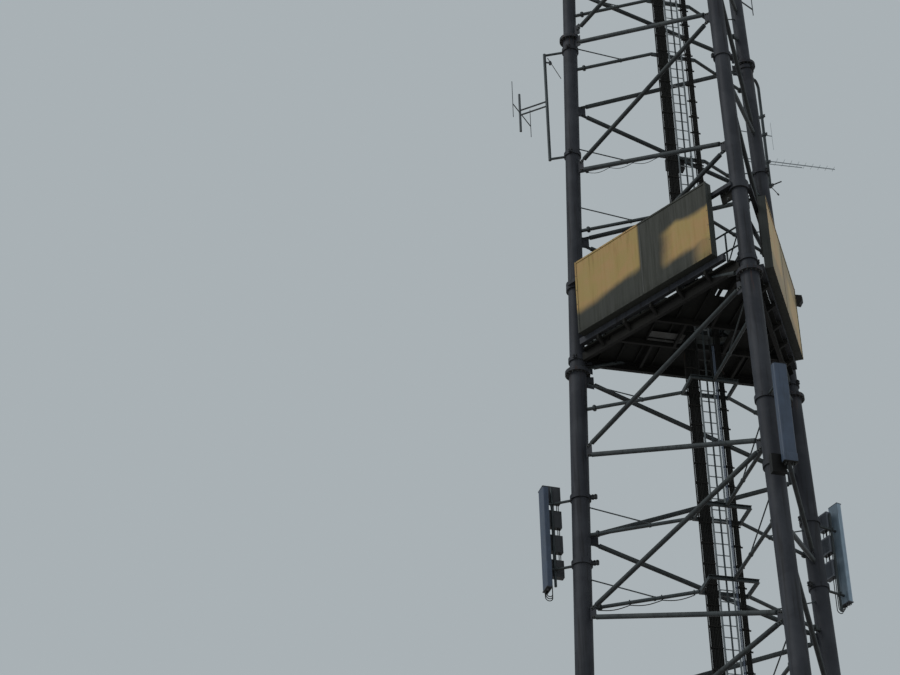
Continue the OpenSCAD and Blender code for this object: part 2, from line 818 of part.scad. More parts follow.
// Cranked brackets from the platform's edge beams, round the floor's edge, to the lower rails
module sign_brackets() {
    base = side(sign_z) / (2 * sqrt(3));
    far = max(floor_edge - base, sign_off - sign_arm) + joint_gap;
    near = side(beam_z) / (2 * sqrt(3)) + edge_w / 2 - base;
    foot = beam_z - edge_h / 4;
    under = floor_z - joint_gap;
    color(steel)
        for (f = [0:2], n = [0:sill_bracket_n - 1])
            at_sign(f)
                translate([-sign_off, sign_shift(f) + sign_width(f) * ((n + 0.5) / sill_bracket_n - 0.5), 0])
                    rotate([90, 0, 0])
                        translate([0, -sign_z - sign_h / 2, -sill_bracket_t / 2])
                            linear_extrude(sill_bracket_t)
                                polygon([[near, foot], [sign_off, under - 20], [sign_off, sill_z],
                                    [far, sill_z], [far, under], [near, under]]);
}

lamp_drop = 100;
lamp_in = 40;
lamp_slope = 60;
lamp_arm = 30;

// A small lamp with a sloping hood, on an arm at the far end of the right sign
module sign_lamp() {
    color(dark)
        at_sign(1)
            translate([sign_t - lamp_in, sign_shift(1) + sign_width(1) / 2, sign_h / 2 - lamp_drop - lamp_h]) {
                translate([0, 0, lamp_h / 2])
                    cube([lamp_arm, lamp_arm + 1, lamp_arm]);
                translate([0, lamp_arm + lamp_w, 0])
                    rotate([90, 0, 0])
                        linear_extrude(lamp_w)
                            polygon([[0, lamp_slope], [lamp_d * 0.6, 0], [lamp_d, lamp_h * 0.4],
                                [lamp_d, lamp_h - lamp_slope], [0, lamp_h]]);
            }
}

// An upright pipe beside leg k, held by two level stubs. The rear one bends over at its top.
module bracket(k) {
    foot_at = beside(k, bracket_z(k), bracket_out, bracket_turn[k]);
    top = bracket_z(k) + bracket_l;
    bend = k == 2 ? bracket_bend : 0;
    past = bend == 0 ? bracket_d / 2 : -bend - joint_gap;
    color(galvanised) {
        bar(foot_at - [0, 0, bracket_d / 2], foot_at + [0, 0, bracket_l + past], bracket_d);
        stub(k, bracket_z(k), foot_at, bracket_d / 2, bracket_d * 0.8);
        stub(k, top, [foot_at[0], foot_at[1], top], max(bend, bracket_d / 2), bracket_d * 0.8);
        if (bend > 0)
            translate([foot_at[0], foot_at[1], top - bend])
                rotate([90, 0, leg_angle[k] + bracket_turn[k]])
                    translate([-bend, 0, 0])
                        rotate_extrude(angle = 90) translate([bend, 0]) circle(d = bracket_d);
    }
}

// A level stub of diameter d from the band on leg k to an upright pipe of radius r at p
module stub(k, z, p, r, d) {
    a = leg_at(k, z);
    v = unit(p - a);
    bar(a + (leg_d(z) / 2 + band_out - 3) * v, p - (r + joint_gap) * v, d);
}

// Upright rod of length l, centred on p
module upright(p, l, d) {
    translate(p - [0, 0, l / 2]) cylinder(d = d, h = l);
}

// A point on the bracket pipe of leg k, so high above its lower stub
function on_bracket(k, up) = beside(k, bracket_z(k), bracket_out, bracket_turn[k]) + [0, 0, up];

arm_gap = 75;
arm_d = 42;
front_element_up = 150;
rear_element_up = 100;

// Upright elements on a short boom, held out from the left bracket by two arms
module dipole_array() {
    root = on_bracket(0, dipole_up);
    out = spoke(200);
    hub = root + dipole_out * out;
    along = spoke(109);
    near = hub - front_element * along;
    far = hub + rear_element * along;
    color(galvanised) {
        for (s = [-1, 1])
            bar(root + [0, 0, s * arm_gap] + (bracket_d / 2 + joint_gap) * out,
                hub + [0, 0, s * arm_gap] - (hub_d / 2 + joint_gap) * out, arm_d);
        upright(hub, hub_l, hub_d);
        bar(near + (boom_d / 2 + joint_gap) * along, hub - (hub_d / 2 + joint_gap) * along, boom_d);
        bar(hub + (hub_d / 2 + joint_gap) * along, far - (boom_d / 2 + joint_gap) * along, boom_d);
        upright(near + [0, 0, front_element_up], front_element_l, boom_d * 0.7);
        upright(far + [0, 0, rear_element_up], rear_element_l, boom_d * 0.7);
    }
}

yagi_end = 40;
yagi_taper = 6;
yagi_brace = 90;

// A long boom with short level elements, and a lower brace, on the rear bracket
module long_yagi() {
    along = spoke(59);
    across = spoke(-31);
    root = on_bracket(2, long_yagi_up) + (bracket_d / 2 + joint_gap) * along;
    step = (long_yagi_l - yagi_end) / yagi_n;
    color(galvanised) {
        bar(root, root + long_yagi_l * along, boom_d);
        for (i = [1:yagi_n])
            bar(root + i * step * along - (yagi_half - i * yagi_taper) * across,
                root + i * step * along + (yagi_half - i * yagi_taper) * across, element_d);
        bar(root - [0, 0, yagi_brace], root + long_yagi_l / 2 * along - [0, 0, yagi_brace - boom_d / 2],
            boom_d * 0.8);
    }
}

// A short boom with one upright element, on the rear bracket
module short_yagi() {
    along = spoke(63);
    root = on_bracket(2, short_yagi_up) + (bracket_d / 2 + joint_gap) * along;
    color(galvanised) {
        bar(root, root + short_yagi_l * along, boom_d);
        upright(root + (short_yagi_l + joint_gap + element_d / 2) * along, short_element_l, element_d);
    }
}

whip_arm_d = 40;
whip_d = 26;
whip_tail = 200;

// A whip on a short arm at the top of the rear leg
module whip_antenna() {
    z = mast_top - whip_drop;
    tip = beside(2, z, whip_out, whip_turn);
    v = spoke(leg_angle[2] + whip_turn);
    color(galvanised) {
        bar(beside(2, z, leg_d_top / 2 - 1, whip_turn), tip - (whip_d / 2 + joint_gap) * v, whip_arm_d);
        bar(tip - [0, 0, whip_tail], tip + [0, 0, whip_l], whip_d);
    }
}

// Places children at the lower end of leg k's panel antenna, with x the way it faces
module at_panel(k, z) {
    p = beside(k, panel_foot(k), panel_out, panel_turn[k]);
    translate([p[0], p[1], z]) rotate([0, 0, leg_angle[k] + panel_face[k]]) children();
}

// A rounded upright antenna housing
module panel(k) {
    r = 40;
    color(panel_colour)
        at_panel(k, panel_foot(k))
            linear_extrude(panel_h - (k == 1 ? panel_less : 0)) {
                translate([-panel_t / 2, -panel_w / 2]) square([panel_t - r, panel_w]);
                translate([-panel_t / 2, r - panel_w / 2]) square([panel_t, panel_w - 2 * r]);
                for (s = [-1, 1]) translate([panel_t / 2 - r, s * (panel_w / 2 - r)]) circle(r = r);
            }
}

panel_arm = 60;
pole_d = 60.3;
pole_end = 420;

function pole_at(k, z) =
    let (p = beside(k, panel_foot(k), panel_out, panel_turn[k]) - pole_gap * spoke(leg_angle[k] + panel_face[k]))
    [p[0], p[1], z];

// An upright pole beside each leg, held by stubs, with a bracket to its panel antenna
module panel_brackets() {
    color(galvanised)
        for (k = [0:2]) {
            out = spoke(leg_angle[k] + panel_face[k]);
            bar(pole_at(k, panel_band_z[0] - pole_end), pole_at(k, panel_band_z[1] + pole_end), pole_d);
            for (z = panel_band_z) {
                stub(k, z, pole_at(k, z), pole_d / 2, pole_d);
                bar(pole_at(k, z) + (pole_d / 2 + joint_gap) * out,
                    pole_at(k, z) + (pole_gap - panel_t / 2) * out, panel_arm);
            }
        }
}

// Leg and place from below of each radio housing
radio_places = [[0, 0], [0, 1], [0, 2], [1, -1], [2, 1], [2, 2], [2, 3]];

// Flat radio housings on the poles behind the panel antennas, edgeways to the left one
module radio_units() {
    color(dark)
        for (r = radio_places) {
            k = r[0];
            translate(pole_at(k, radio_z(k, r[1])))
                rotate([0, 0, leg_angle[k] + panel_face[k]])
                    if (k == 0)
                        translate([radio_in - radio_w, -pole_d / 2 - joint_gap - radio_t, 0])
                            cube([radio_w, radio_t, radio_h]);
                    else
                        translate([0, radio_side(k) * (pole_d / 2 + joint_gap + radio_w / 2), radio_h / 2])
                            cube([radio_t, radio_w, radio_h], center = true);
        }
}

function radio_z(k, i) = panel_arm + (k == 1 ? panel_foot(k) - radio_h : panel_band - radio_h / 2 + i * radio_step);
function radio_side(k) = k == 2 ? 1 : -1;

// A cable of diameter jumper_d that hangs down from a, turns in a half ring and rises to height top
module jumper(p, turn, r, drop, top) {
    translate(p) rotate([0, 0, turn]) {
        translate([0, 0, -drop]) cylinder(d = jumper_d, h = drop);
        translate([r, 0, -drop]) rotate([90, 0, 0]) rotate([0, 0, 180])
            rotate_extrude(angle = 180) translate([r, 0]) circle(d = jumper_d);
        translate([2 * r, 0, -drop]) cylinder(d = jumper_d, h = drop + top);
    }
}

jumper_n = 3;
jumper_pitch = 45;
jumper_r = 68;
jumper_drop = 60;

// Looped cables from the lower ends of the panel antennas up to the radio housings
module jumper_cables() {
    color(dark)
        for (k = [0, 2], i = [0:jumper_n - 1])
            at_panel(k, panel_foot(k) - joint_gap)
                jumper([0, radio_side(k) * (i + 1.5) * jumper_pitch, 0], 180, jumper_r + 8 * i,
                    jumper_drop + 20 * i, radio_z(k, k / 2) - panel_foot(k) - joint_gap);
}

rod_d = 22;
rod_base_d = 70;
rod_base_l = 120;

module lightning_rod() {
    base = leg_at(0, mast_top) + [0, 0, flange_t / 2];
    color(galvanised) {
        bar(base, base + [0, 0, rod_base_l], rod_base_d);
        bar(base, base + [0, 0, rod_l], rod_d);
    }
}

leg_lower(0);  // left_leg_lower
leg_middle(0);  // left_leg_middle
leg_lower(1);  // right_leg_lower
leg_middle(1);  // right_leg_middle
leg_lower(2);  // rear_leg_lower
leg_middle(2);  // rear_leg_middle
leg_tops();
foot_plates();
foot_ribs();
leg_flanges();
clamp_bands();
node_plates();
zigzag(0);  // front_bracing
zigzag(1);  // right_bracing
zigzag(2);  // left_bracing
top_ring();
support_pipes();
tie_rods();
frame_beams();
frame_links();
climbing_ladder();
fall_arrest_rail();
cable_ladders();
feeder_cables();
thin_cables();
junction_box();
platform_beams();
platform_joists();
platform_floor();
handrail();
sign(0);  // front_sign
sign(1);  // right_sign
sign(2);  // left_sign
sign_arms();
sign_brackets();
sign_lamp();
bracket(0);  // left_antenna_bracket
bracket(2);  // rear_antenna_bracket
dipole_array();
long_yagi();
short_yagi();
whip_antenna();
panel(0);  // left_panel_antenna
panel(1);  // right_panel_antenna
panel(2);  // rear_panel_antenna
panel_brackets();
radio_units();
jumper_cables();
lightning_rod();
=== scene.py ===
import json
from math import atan, cos, pi, radians, sin, sqrt

import bmesh
import bpy
from mathutils import Matrix, Vector


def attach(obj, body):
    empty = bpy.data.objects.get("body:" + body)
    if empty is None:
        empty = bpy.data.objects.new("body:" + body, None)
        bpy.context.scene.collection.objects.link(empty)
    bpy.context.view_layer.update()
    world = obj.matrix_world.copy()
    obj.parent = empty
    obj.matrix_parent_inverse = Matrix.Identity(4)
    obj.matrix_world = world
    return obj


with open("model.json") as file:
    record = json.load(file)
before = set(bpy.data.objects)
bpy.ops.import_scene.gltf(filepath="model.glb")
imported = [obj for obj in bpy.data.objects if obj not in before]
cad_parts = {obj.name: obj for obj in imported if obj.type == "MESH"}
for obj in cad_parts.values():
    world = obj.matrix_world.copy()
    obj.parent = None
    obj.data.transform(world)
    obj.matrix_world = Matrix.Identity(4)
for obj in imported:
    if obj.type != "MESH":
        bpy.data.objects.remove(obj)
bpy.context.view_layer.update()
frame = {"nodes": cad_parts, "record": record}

# Driving sizes that the mast's source also uses, in metres and degrees.
# Legs 0, 1 and 2 are left, right and rear. Face f lies between leg f and the next one.
HALF_BAY = 2.01
SIDE_AT_FOOT, SIDE_LOSS = 5.86, 0.052
FIRST_NODE_Z, ODD_RISE, LAST_NODE = 1.13, 0.10, 12
JOINT_NODES, JOINT_RISE, JOINT_SPLIT = (1, 6, 11), 0.16, 0.10
LEG_END_RISE = 0.90
LEG_ANGLE, FACE_TURN, FRAME_TURN = (210, 330, 90), 60, 60
LEG_D = (0.4064, 0.3556, 0.3239)
GAP = 0.0015
FLANGE_T = 0.04
FOOT_T, ANCHOR_R, ANCHOR_N = 0.05, 0.345, 12
BAND_OUT, BAND_H = 0.032, 0.11
SIGN_BAND_OUT, SIGN_BAND_H = 0.048, 0.21

# Inner supports, ladder and cables
SUPPORT_BELOW, SUPPORT_ABOVE, SUPPORT_LAP = 0.99, 0.80, 0.001
COLLAR_GAP, COLLAR_T, TIE_SHARE = 0.15, 0.036, 0.62
FRAME_L, FRAME_W = 1.11, 0.68
BEAM_W, BEAM_WALL = 0.05, 0.008
LADDER_U, LADDER_W, LADDER_OFF, STILE_D = 0.035, 0.32, 0.04, 0.042
LADDER_FOOT, LADDER_STOP = 0.35, 0.15
WIDE_W, LADDER_GAP = 0.28, 0.006
NARROW_W, NARROW_GAP = 0.15, 0.09
TRAY_SIDE, TRAY_DEPTH, STEP_PITCH = 0.012, 0.05, 0.50
CABLE_D, CABLE_PITCH, CABLE_OUT = 0.030, 0.034, 0.0223

# Platform and signs
PLATFORM_RISE, EDGE_H, EDGE_W = 0.35, 0.20, 0.09
FLOOR_T, HATCH_L, HATCH_W, JOIST_W = 0.04, 1.12, 0.88, 0.06
POST_IN, RAIL_IN = 0.62, 0.10
SIGN_LIFT, SIGN_H, SIGN_T, SIGN_OFF = 0.19, 1.99, 0.19, 0.25
SIGN_W, SIGN_SHIFT = (4.04, 3.80, 4.04), (-0.07, 0.16, 0.0)
SIGN_RIM, SIGN_RECESS = 0.045, 0.012
SIGN_ARM, SIGN_ARM_IN = 0.10, 0.27

# Antennas
BRACKET_L, BRACKET_DROP, BRACKET_LIFT = 3.35, 0.35, 0.22
BRACKET_OUT, BRACKET_TURN = 0.56, (5, 0, 14)
LONG_BOOM_UP, SHORT_BOOM_UP, BOOM_BRACE, BOOM_R = 0.80, 1.65, 0.09, 0.013
LONG_BOOM_ANGLE, SHORT_BOOM_ANGLE = 59, 63
PANEL_FOOT, PANEL_TALL = (8.02, 8.34, 8.34), (2.50, 2.15, 2.50)
PANEL_W, PANEL_T, PANEL_OUT = 0.30, 0.13, 0.76
PANEL_TURN, PANEL_FACE = (6, 2, -12), (34, 2, -12)
PANEL_BANDS, PANEL_ARM = (8.53, 10.17), 0.06
POLE_GAP, POLE_D = 0.19, 0.0603
RADIO_W, RADIO_T, RADIO_H = 0.30, 0.13, 0.42
RADIO_IN, RADIO_STEP = 0.07, 0.62

# Sizes that only this script uses. A nut has a width, a height and the length of the bolt's end
LARGE_NUT, MIDDLE_NUT, SMALL_NUT = (0.036, 0.019, 0.012), (0.030, 0.016, 0.010), (0.018, 0.010, 0.006)
WASHER_T = 0.004
LIP_L, LONG_LIP_L, LIP_T = 0.056, 0.150, 0.016
GROOVE_CABLE_D = 0.022
LONG_CAP, CAP_LAP = 0.20, 0.010
SMOOTH_ANGLE, BEVEL_ANGLE = radians(35), radians(30)


# Places on the mast

def side(z):
    """Side of the triangle between the leg centres at height z."""
    return SIDE_AT_FOOT - SIDE_LOSS * z


def node_z(n):
    return FIRST_NODE_Z + n * HALF_BAY + (n % 2) * ODD_RISE


def joint_z(n):
    return node_z(1) + JOINT_RISE + (n - 1) * HALF_BAY


CENTRE = Vector((SIDE_AT_FOOT / 2, SIDE_AT_FOOT / (2 * sqrt(3)), 0))
LEAN = atan(SIDE_LOSS / sqrt(3))
JOINTS = [joint_z(n) for n in JOINT_NODES]
FOOT_JOINT, MIDDLE_JOINT, TOP_JOINT = JOINTS
MAST_TOP = node_z(LAST_NODE) + LEG_END_RISE
HALF_SECTION = (MIDDLE_JOINT - FOOT_JOINT) / 2
SUPPORTS = [FOOT_JOINT + n * HALF_SECTION + rise
            for n in range(5) for rise in (-SUPPORT_BELOW, SUPPORT_ABOVE)]
BACK_V = -FRAME_W / 2
LADDER_V = BACK_V + BEAM_W / 2 + STILE_D / 2 + LADDER_OFF
LADDER_TOP = MAST_TOP - LADDER_STOP
WIDE_U = LADDER_U - LADDER_W / 2 - STILE_D / 2 - LADDER_GAP - WIDE_W / 2
NARROW_U = LADDER_U + LADDER_W / 2 + STILE_D / 2 + NARROW_GAP + NARROW_W / 2
TRAY_V = BACK_V + BEAM_W / 2 + TRAY_DEPTH / 2
BEAM_Z = MIDDLE_JOINT + PLATFORM_RISE
FLOOR_Z = BEAM_Z + EDGE_H / 2
SIGN_Z = FLOOR_Z + FLOOR_T + SIGN_LIFT
SIGN_BAND_Z = SIGN_Z + SIGN_H - SIGN_ARM_IN


def spoke(angle):
    return Vector((cos(radians(angle)), sin(radians(angle)), 0))


def turn(degrees, axis="Z"):
    return Matrix.Rotation(radians(degrees), 4, axis)


def shift(x, y, z):
    return Matrix.Translation((x, y, z))


def leg_at(k, z):
    return CENTRE + side(z) / sqrt(3) * spoke(LEG_ANGLE[k % 3]) + Vector((0, 0, z))


def leg_d(z):
    return LEG_D[0] if z < MIDDLE_JOINT else LEG_D[1] if z < TOP_JOINT else LEG_D[2]


def on_leg(k, z):
    """A place on leg k's axis: z runs along the leg, x away from the mast."""
    return shift(*leg_at(k, z)) @ turn(LEG_ANGLE[k]) @ Matrix.Rotation(-LEAN, 4, "Y")


def in_plan(u, v, z):
    """A place by u, along the centre frames, and v, across them towards the right leg."""
    a = radians(FRAME_TURN)
    place = CENTRE + Vector((u * cos(a) + v * sin(a), u * sin(a) - v * cos(a), z))
    return shift(*place) @ turn(FRAME_TURN)


def on_face(f, z):
    """Middle of face f at height z, with x outwards and y along the face."""
    middle = shift(CENTRE.x, CENTRE.y, z) @ turn(LEG_ANGLE[f] + FACE_TURN)
    return middle @ shift(side(z) / (2 * sqrt(3)), 0, 0)


def on_sign(f, up):
    """Middle of the back of face f's sign, at this height above its lower edge."""
    return on_face(f, SIGN_Z) @ shift(SIGN_OFF, SIGN_SHIFT[f], up)


def on_panel(k, z):
    """The upright axis of leg k's panel antenna at height z, with x the way it faces."""
    place = leg_at(k, PANEL_FOOT[k]) + PANEL_OUT * spoke(LEG_ANGLE[k] + PANEL_TURN[k])
    return shift(place.x, place.y, z) @ turn(LEG_ANGLE[k] + PANEL_FACE[k])


def on_pole(k, z):
    return on_panel(k, z) @ shift(-POLE_GAP, 0, 0)


def radio_z(k, i):
    """Lower end of housing i on leg k's pole. The right leg's hangs below its panel."""
    low = PANEL_FOOT[k] - RADIO_H if k == 1 else PANEL_BANDS[0] - RADIO_H / 2 + i * RADIO_STEP
    return PANEL_ARM + low


def on_radio(k, i):
    """Middle of a radio housing: x faces the panel antenna, or the pole on the left leg."""
    pole = on_pole(k, radio_z(k, i) + RADIO_H / 2)
    if k == 0:
        return pole @ shift(RADIO_IN - RADIO_W / 2, -POLE_D / 2 - GAP - RADIO_T / 2, 0) @ turn(90)
    aside = RADIO_W / 2 + POLE_D / 2 + GAP
    return pole @ shift(0, aside if k == 2 else -aside, 0)


def bracket_z(k):
    return TOP_JOINT - BRACKET_DROP - BRACKET_L + (BRACKET_LIFT if k == 2 else 0)


def on_bracket(k, up):
    """A point on leg k's bracket pipe, at this height above its lower stub."""
    place = leg_at(k, bracket_z(k)) + BRACKET_OUT * spoke(LEG_ANGLE[k] + BRACKET_TURN[k])
    return Vector((place.x, place.y, bracket_z(k) + up))


def standing(point, axis):
    """A place at point whose z axis runs along axis."""
    return shift(*point) @ Vector(axis).to_track_quat("Z", "Y").to_matrix().to_4x4()


def around(place, count, radius, start):
    """Places on a circle, the first of them at the angle start."""
    return [place @ turn(start + i * 360 / count) @ shift(radius, 0, 0) for i in range(count)]


def both_ends(places, low, high):
    """Turns each place into two: one out along z at high, one back at low."""
    return [p @ shift(0, 0, high) for p in places] + [p @ shift(0, 0, low) @ turn(180, "X") for p in places]


def brace_ends():
    """Both ends of each bracing tube: node, way along the tube, way across its flat tip."""
    ends = []
    for f in range(3):
        for n in range(LAST_NODE):
            low, high = (f, f + 1) if n % 2 == 1 else (f + 1, f)
            a, b = leg_at(low, end_z(n, 1)), leg_at(high, end_z(n + 1, -1))
            along = (b - a).normalized()
            across = Vector((-along.y, along.x, 0)).normalized()
            ends += [(a, along, across), (b, -along, across)]
    return ends


def end_z(n, s):
    """Height of the tubes' ends at node n, which are split by s at a leg joint."""
    return joint_z(n) + s * JOINT_SPLIT if n in JOINT_NODES else node_z(n)


def support_pipes():
    """Height and ends of each support pipe. Above the signs only two legs have them."""
    pipes = []
    for z in SUPPORTS:
        for k in (0, 1, 2) if z < MIDDLE_JOINT + HALF_SECTION / 2 else (0, 2):
            pipes.append((z, leg_at(k, z), support_end(k, z)))
    return pipes


def support_end(k, z):
    """Where leg k's support pipe meets the centre frame."""
    u, v = (k - 1) * FRAME_L / 2, BACK_V + BEAM_W / 4
    if k == 1:
        v = FRAME_W / 2 - BEAM_W / 2 + BEAM_WALL
    return in_plan(u, v, z).translation


# Shader groups

def new_group(name, inputs, outputs):
    group = bpy.data.node_groups.new(name, "ShaderNodeTree")
    for way, sockets in (("INPUT", inputs), ("OUTPUT", outputs)):
        for label, kind in sockets.items():
            group.interface.new_socket(label, in_out=way, socket_type="NodeSocket" + kind)
    given = group.nodes.new("NodeGroupInput").outputs
    result = group.nodes.new("NodeGroupOutput").inputs
    return group, Wiring(group), given, result


class Wiring:
    """Adds and links nodes in one tree. A value is a number, a colour or a node's output."""

    def __init__(self, tree):
        self.tree = tree

    def put(self, socket, value):
        if isinstance(value, bpy.types.NodeSocket):
            self.tree.links.new(value, socket)
        else:
            socket.default_value = value

    def add(self, kind, inputs=None, **settings):
        """Adds a node with these settings, and gives its inputs their values, by name or number."""
        node = self.tree.nodes.new("ShaderNode" + kind)
        for name, value in settings.items():
            setattr(node, name, value)
        for name, value in (inputs or {}).items():
            self.put(node.inputs[name], value)
        return node

    def noise(self, place, scale, detail=3.0, rough=0.55, distortion=0.0):
        inputs = {"Vector": place, "Scale": scale, "Detail": detail, "Roughness": rough,
                  "Distortion": distortion}
        return self.add("TexNoise", inputs).outputs["Fac"]

    def streaks(self, place, across, down, detail, rough=0.55):
        """Noise that is stretched along the height."""
        drawn = self.add("Mapping", {"Vector": place, "Scale": (across, across, down)})
        return self.noise(drawn.outputs["Vector"], 1.0, detail, rough)

    def ramp(self, value, start, end, low=0.0, high=1.0):
        """Runs smoothly from low to high while value runs from start to end."""
        inputs = {"Value": value, "From Min": start, "From Max": end, "To Min": low, "To Max": high}
        return self.add("MapRange", inputs, interpolation_type="SMOOTHSTEP").outputs["Result"]

    def math(self, operation, a, b):
        return self.add("Math", {0: a, 1: b}, operation=operation).outputs[0]

    def plus(self, a, b):
        return self.math("ADD", a, b)

    def times(self, a, b):
        return self.math("MULTIPLY", a, b)

    def larger(self, a, b):
        return self.math("MAXIMUM", a, b)

    def blend(self, amount, a, b):
        return self.add("Mix", {"Factor": amount, 6: a, 7: b}, data_type="RGBA").outputs[2]

    def dot(self, a, b):
        return self.add("VectorMath", {0: a, 1: b}, operation="DOT_PRODUCT").outputs["Value"]

    def part(self, vector, axis="Z"):
        return self.add("SeparateXYZ", {0: vector}).outputs[axis]


LOOK = dict(Color="Color", Roughness="Float", Height="Float")


def make_weather():
    """Old outdoor paint: faded patches, rain streaks, fine grain, and painted shade in the dirt colour on
    what faces down.
    """
    group, w, given, result = new_group(
        "weather",
        dict(Place="Vector", Facing="Vector", Coat="Color", Faded="Color", Dirt="Color", Streaks="Float",
             Gloss="Float", Grain="Float"), LOOK)
    place = given["Place"]
    patches = w.noise(place, scale=1.3, detail=5.0, rough=0.6, distortion=0.4)
    blotches = w.noise(place, scale=9.0, detail=4.0, rough=0.65)
    grain = w.noise(place, scale=given["Grain"])
    rain = w.streaks(place, across=14.0, down=0.55, detail=4.0, rough=0.6)
    coat = w.blend(w.ramp(patches, 0.36, 0.66), given["Coat"], given["Faded"])
    coat = w.blend(w.ramp(blotches, 0.52, 0.78, high=0.45), coat, given["Faded"])
    runs = w.times(w.ramp(rain, 0.50, 0.72), given["Streaks"])
    coat = w.blend(runs, coat, given["Dirt"])
    # Faces that point down take the dirt colour in blotches: painted shade, and painted light where that
    # colour is paler than the coat.
    under = w.ramp(w.part(given["Facing"]), -0.35, -0.95)
    painted_under_shade = w.times(under, w.ramp(blotches, 0.25, 0.6, 0.45, 0.8))
    w.put(result["Color"], w.blend(painted_under_shade, coat, given["Dirt"]))
    rough = w.plus(given["Gloss"], w.ramp(grain, 0.3, 0.75, -0.08, 0.10))
    w.put(result["Roughness"], w.plus(rough, w.times(runs, 0.18)))
    w.put(result["Height"], w.plus(w.times(grain, 0.5), w.times(blotches, 0.5)))
    return group


def make_rust():
    """Thin rust that starts at the leg joints and runs down from them."""
    group, w, given, result = new_group(
        "joint_rust", dict(Place="Vector", Under="Color", Rust="Color", Amount="Float"),
        dict(Color="Color"))
    place = given["Place"]
    z = w.part(place)
    near = 0.0
    for joint in JOINTS:
        below = w.times(w.ramp(z, joint - 0.95, joint - 0.03), w.math("LESS_THAN", z, joint + 0.05))
        near = w.larger(near, below)
    runs = w.streaks(place, across=26.0, down=0.9, detail=5.0, rough=0.65)
    specks = w.noise(place, scale=55.0)
    mask = w.times(near, w.ramp(runs, 0.53, 0.70))
    mask = w.larger(mask, w.ramp(specks, 0.70, 0.80, high=0.5))
    w.put(result["Color"], w.blend(w.times(mask, given["Amount"]), given["Under"], given["Rust"]))
    return group


def make_sign_face():
    """Painted light on the face: a soft-edged glow on each side of its seam, where light shines through the
    sheet from behind, and painted shadow around it.
    """
    # Edges of the glow, along the sign from its middle or up from its lower edge
    left_edge, left_foot, left_slope = (-0.07, -0.17), (0.60, 0.88), 0.05
    right_edge, right_end = (0.45, 0.90), (1.30, 1.75)
    right_foot, right_top = (0.34, 0.60), (1.46, 1.26)

    group, w, given, result = new_group(
        "sign_face",
        dict(Place="Vector", Facing="Vector", Along="Vector", Outward="Vector", Patches="Float",
             Tan="Color", Orange="Color", Grey="Color", Side="Color", Dark="Color"), LOOK)
    place = given["Place"]
    middle = (CENTRE.x, CENTRE.y, SIGN_Z)
    from_middle = w.add("VectorMath", {0: place, 1: middle}, operation="SUBTRACT").outputs[0]
    up = w.part(from_middle)
    along = w.dot(from_middle, given["Along"])
    wander = w.ramp(w.noise(place, scale=1.1), 0.25, 0.75, -0.08, 0.08)
    soft_up = w.plus(up, wander)
    sloping = w.math("SUBTRACT", soft_up, w.times(along, left_slope))
    left = w.times(w.ramp(along, *left_edge), w.ramp(sloping, *left_foot))
    above_foot = w.larger(w.ramp(soft_up, *right_foot), w.ramp(along, *right_end, high=0.75))
    right = w.times(w.ramp(soft_up, *right_top), above_foot)
    right = w.times(right, w.ramp(w.plus(along, wander), *right_edge))
    # Painted shadow wherever the glow is not.
    shadow_grey = w.math("SUBTRACT", 1.0, w.larger(left, right))

    hue = w.noise(place, scale=2.4, detail=4.0, rough=0.6)
    glow = w.blend(w.ramp(hue, 0.38, 0.68), given["Tan"], given["Orange"])
    shade = w.noise(place, scale=4.0, detail=4.0, rough=0.6)
    shadow = w.blend(w.ramp(shade, 0.3, 0.75, high=0.45), given["Grey"], given["Dark"])
    face = w.blend(w.times(shadow_grey, given["Patches"]), glow, shadow)

    runs = w.streaks(place, across=17.0, down=0.8, detail=5.0, rough=0.62)
    near_top = w.ramp(up, SIGN_H - 0.55, SIGN_H - 0.03)
    near_foot = w.ramp(up, 0.25, 0.0)
    dark = w.times(w.ramp(runs, 0.50, 0.74), w.plus(w.times(near_top, 0.3), 0.10))
    dark = w.larger(dark, w.times(near_foot, w.ramp(runs, 0.3, 0.7, 0.10, 0.45)))
    face = w.blend(dark, face, given["Dark"])

    front = w.ramp(w.dot(given["Facing"], given["Outward"]), 0.5, 0.8)
    # Painted shade: the rim's faces take the dark colour more the further they point down.
    sides = w.blend(w.ramp(w.part(given["Facing"]), -0.4, -0.9), given["Side"], given["Dark"])
    sides = w.blend(w.ramp(runs, 0.45, 0.75, high=0.55), sides, given["Dark"])
    w.put(result["Color"], w.blend(front, sides, face))
    w.put(result["Roughness"], w.plus(w.ramp(runs, 0.3, 0.7, 0.46, 0.62), w.times(dark, 0.2)))
    w.put(result["Height"], w.plus(w.noise(place, scale=38.0), w.times(runs, 0.6)))
    return group


WEATHER = make_weather()
RUST = make_rust()
SIGN_FACE = make_sign_face()


# Materials

def new_material(name):
    material = bpy.data.materials.new(name)
    material.use_nodes = True
    return material, Wiring(material.node_tree), material.node_tree.nodes["Principled BSDF"].inputs


def surface(w):
    """The shaded point's place on the mast, and the way its surface faces."""
    return {"Place": w.add("TexCoord").outputs["Object"], "Facing": w.add("NewGeometry").outputs["Normal"]}


def use_group(w, group, **given):
    return w.add("Group", given, node_tree=group).outputs


def shade(w, shader, colour, rough, shine, height, strength, distance):
    """Gives the shader its colour and roughness, and bumps of the given strength and height."""
    w.put(shader["Base Color"], colour)
    w.put(shader["Roughness"], rough)
    shader["Specular IOR Level"].default_value = shine
    bump = w.add("Bump", {"Strength": strength, "Distance": distance, "Height": height})
    w.put(shader["Normal"], bump.outputs[0])


def rgb(tone, share=1.0):
    return (*(share * c for c in tone), 1.0)


# Colours of the rain runs, which also serve as painted shade on faces that point down.
DIRT_AND_SHADE = (0.010, 0.0095, 0.009)
DARK_DIRT_AND_SHADE = (0.004, 0.004, 0.0035)
ZINC_DIRT_AND_SHADE = (0.020, 0.019, 0.017)
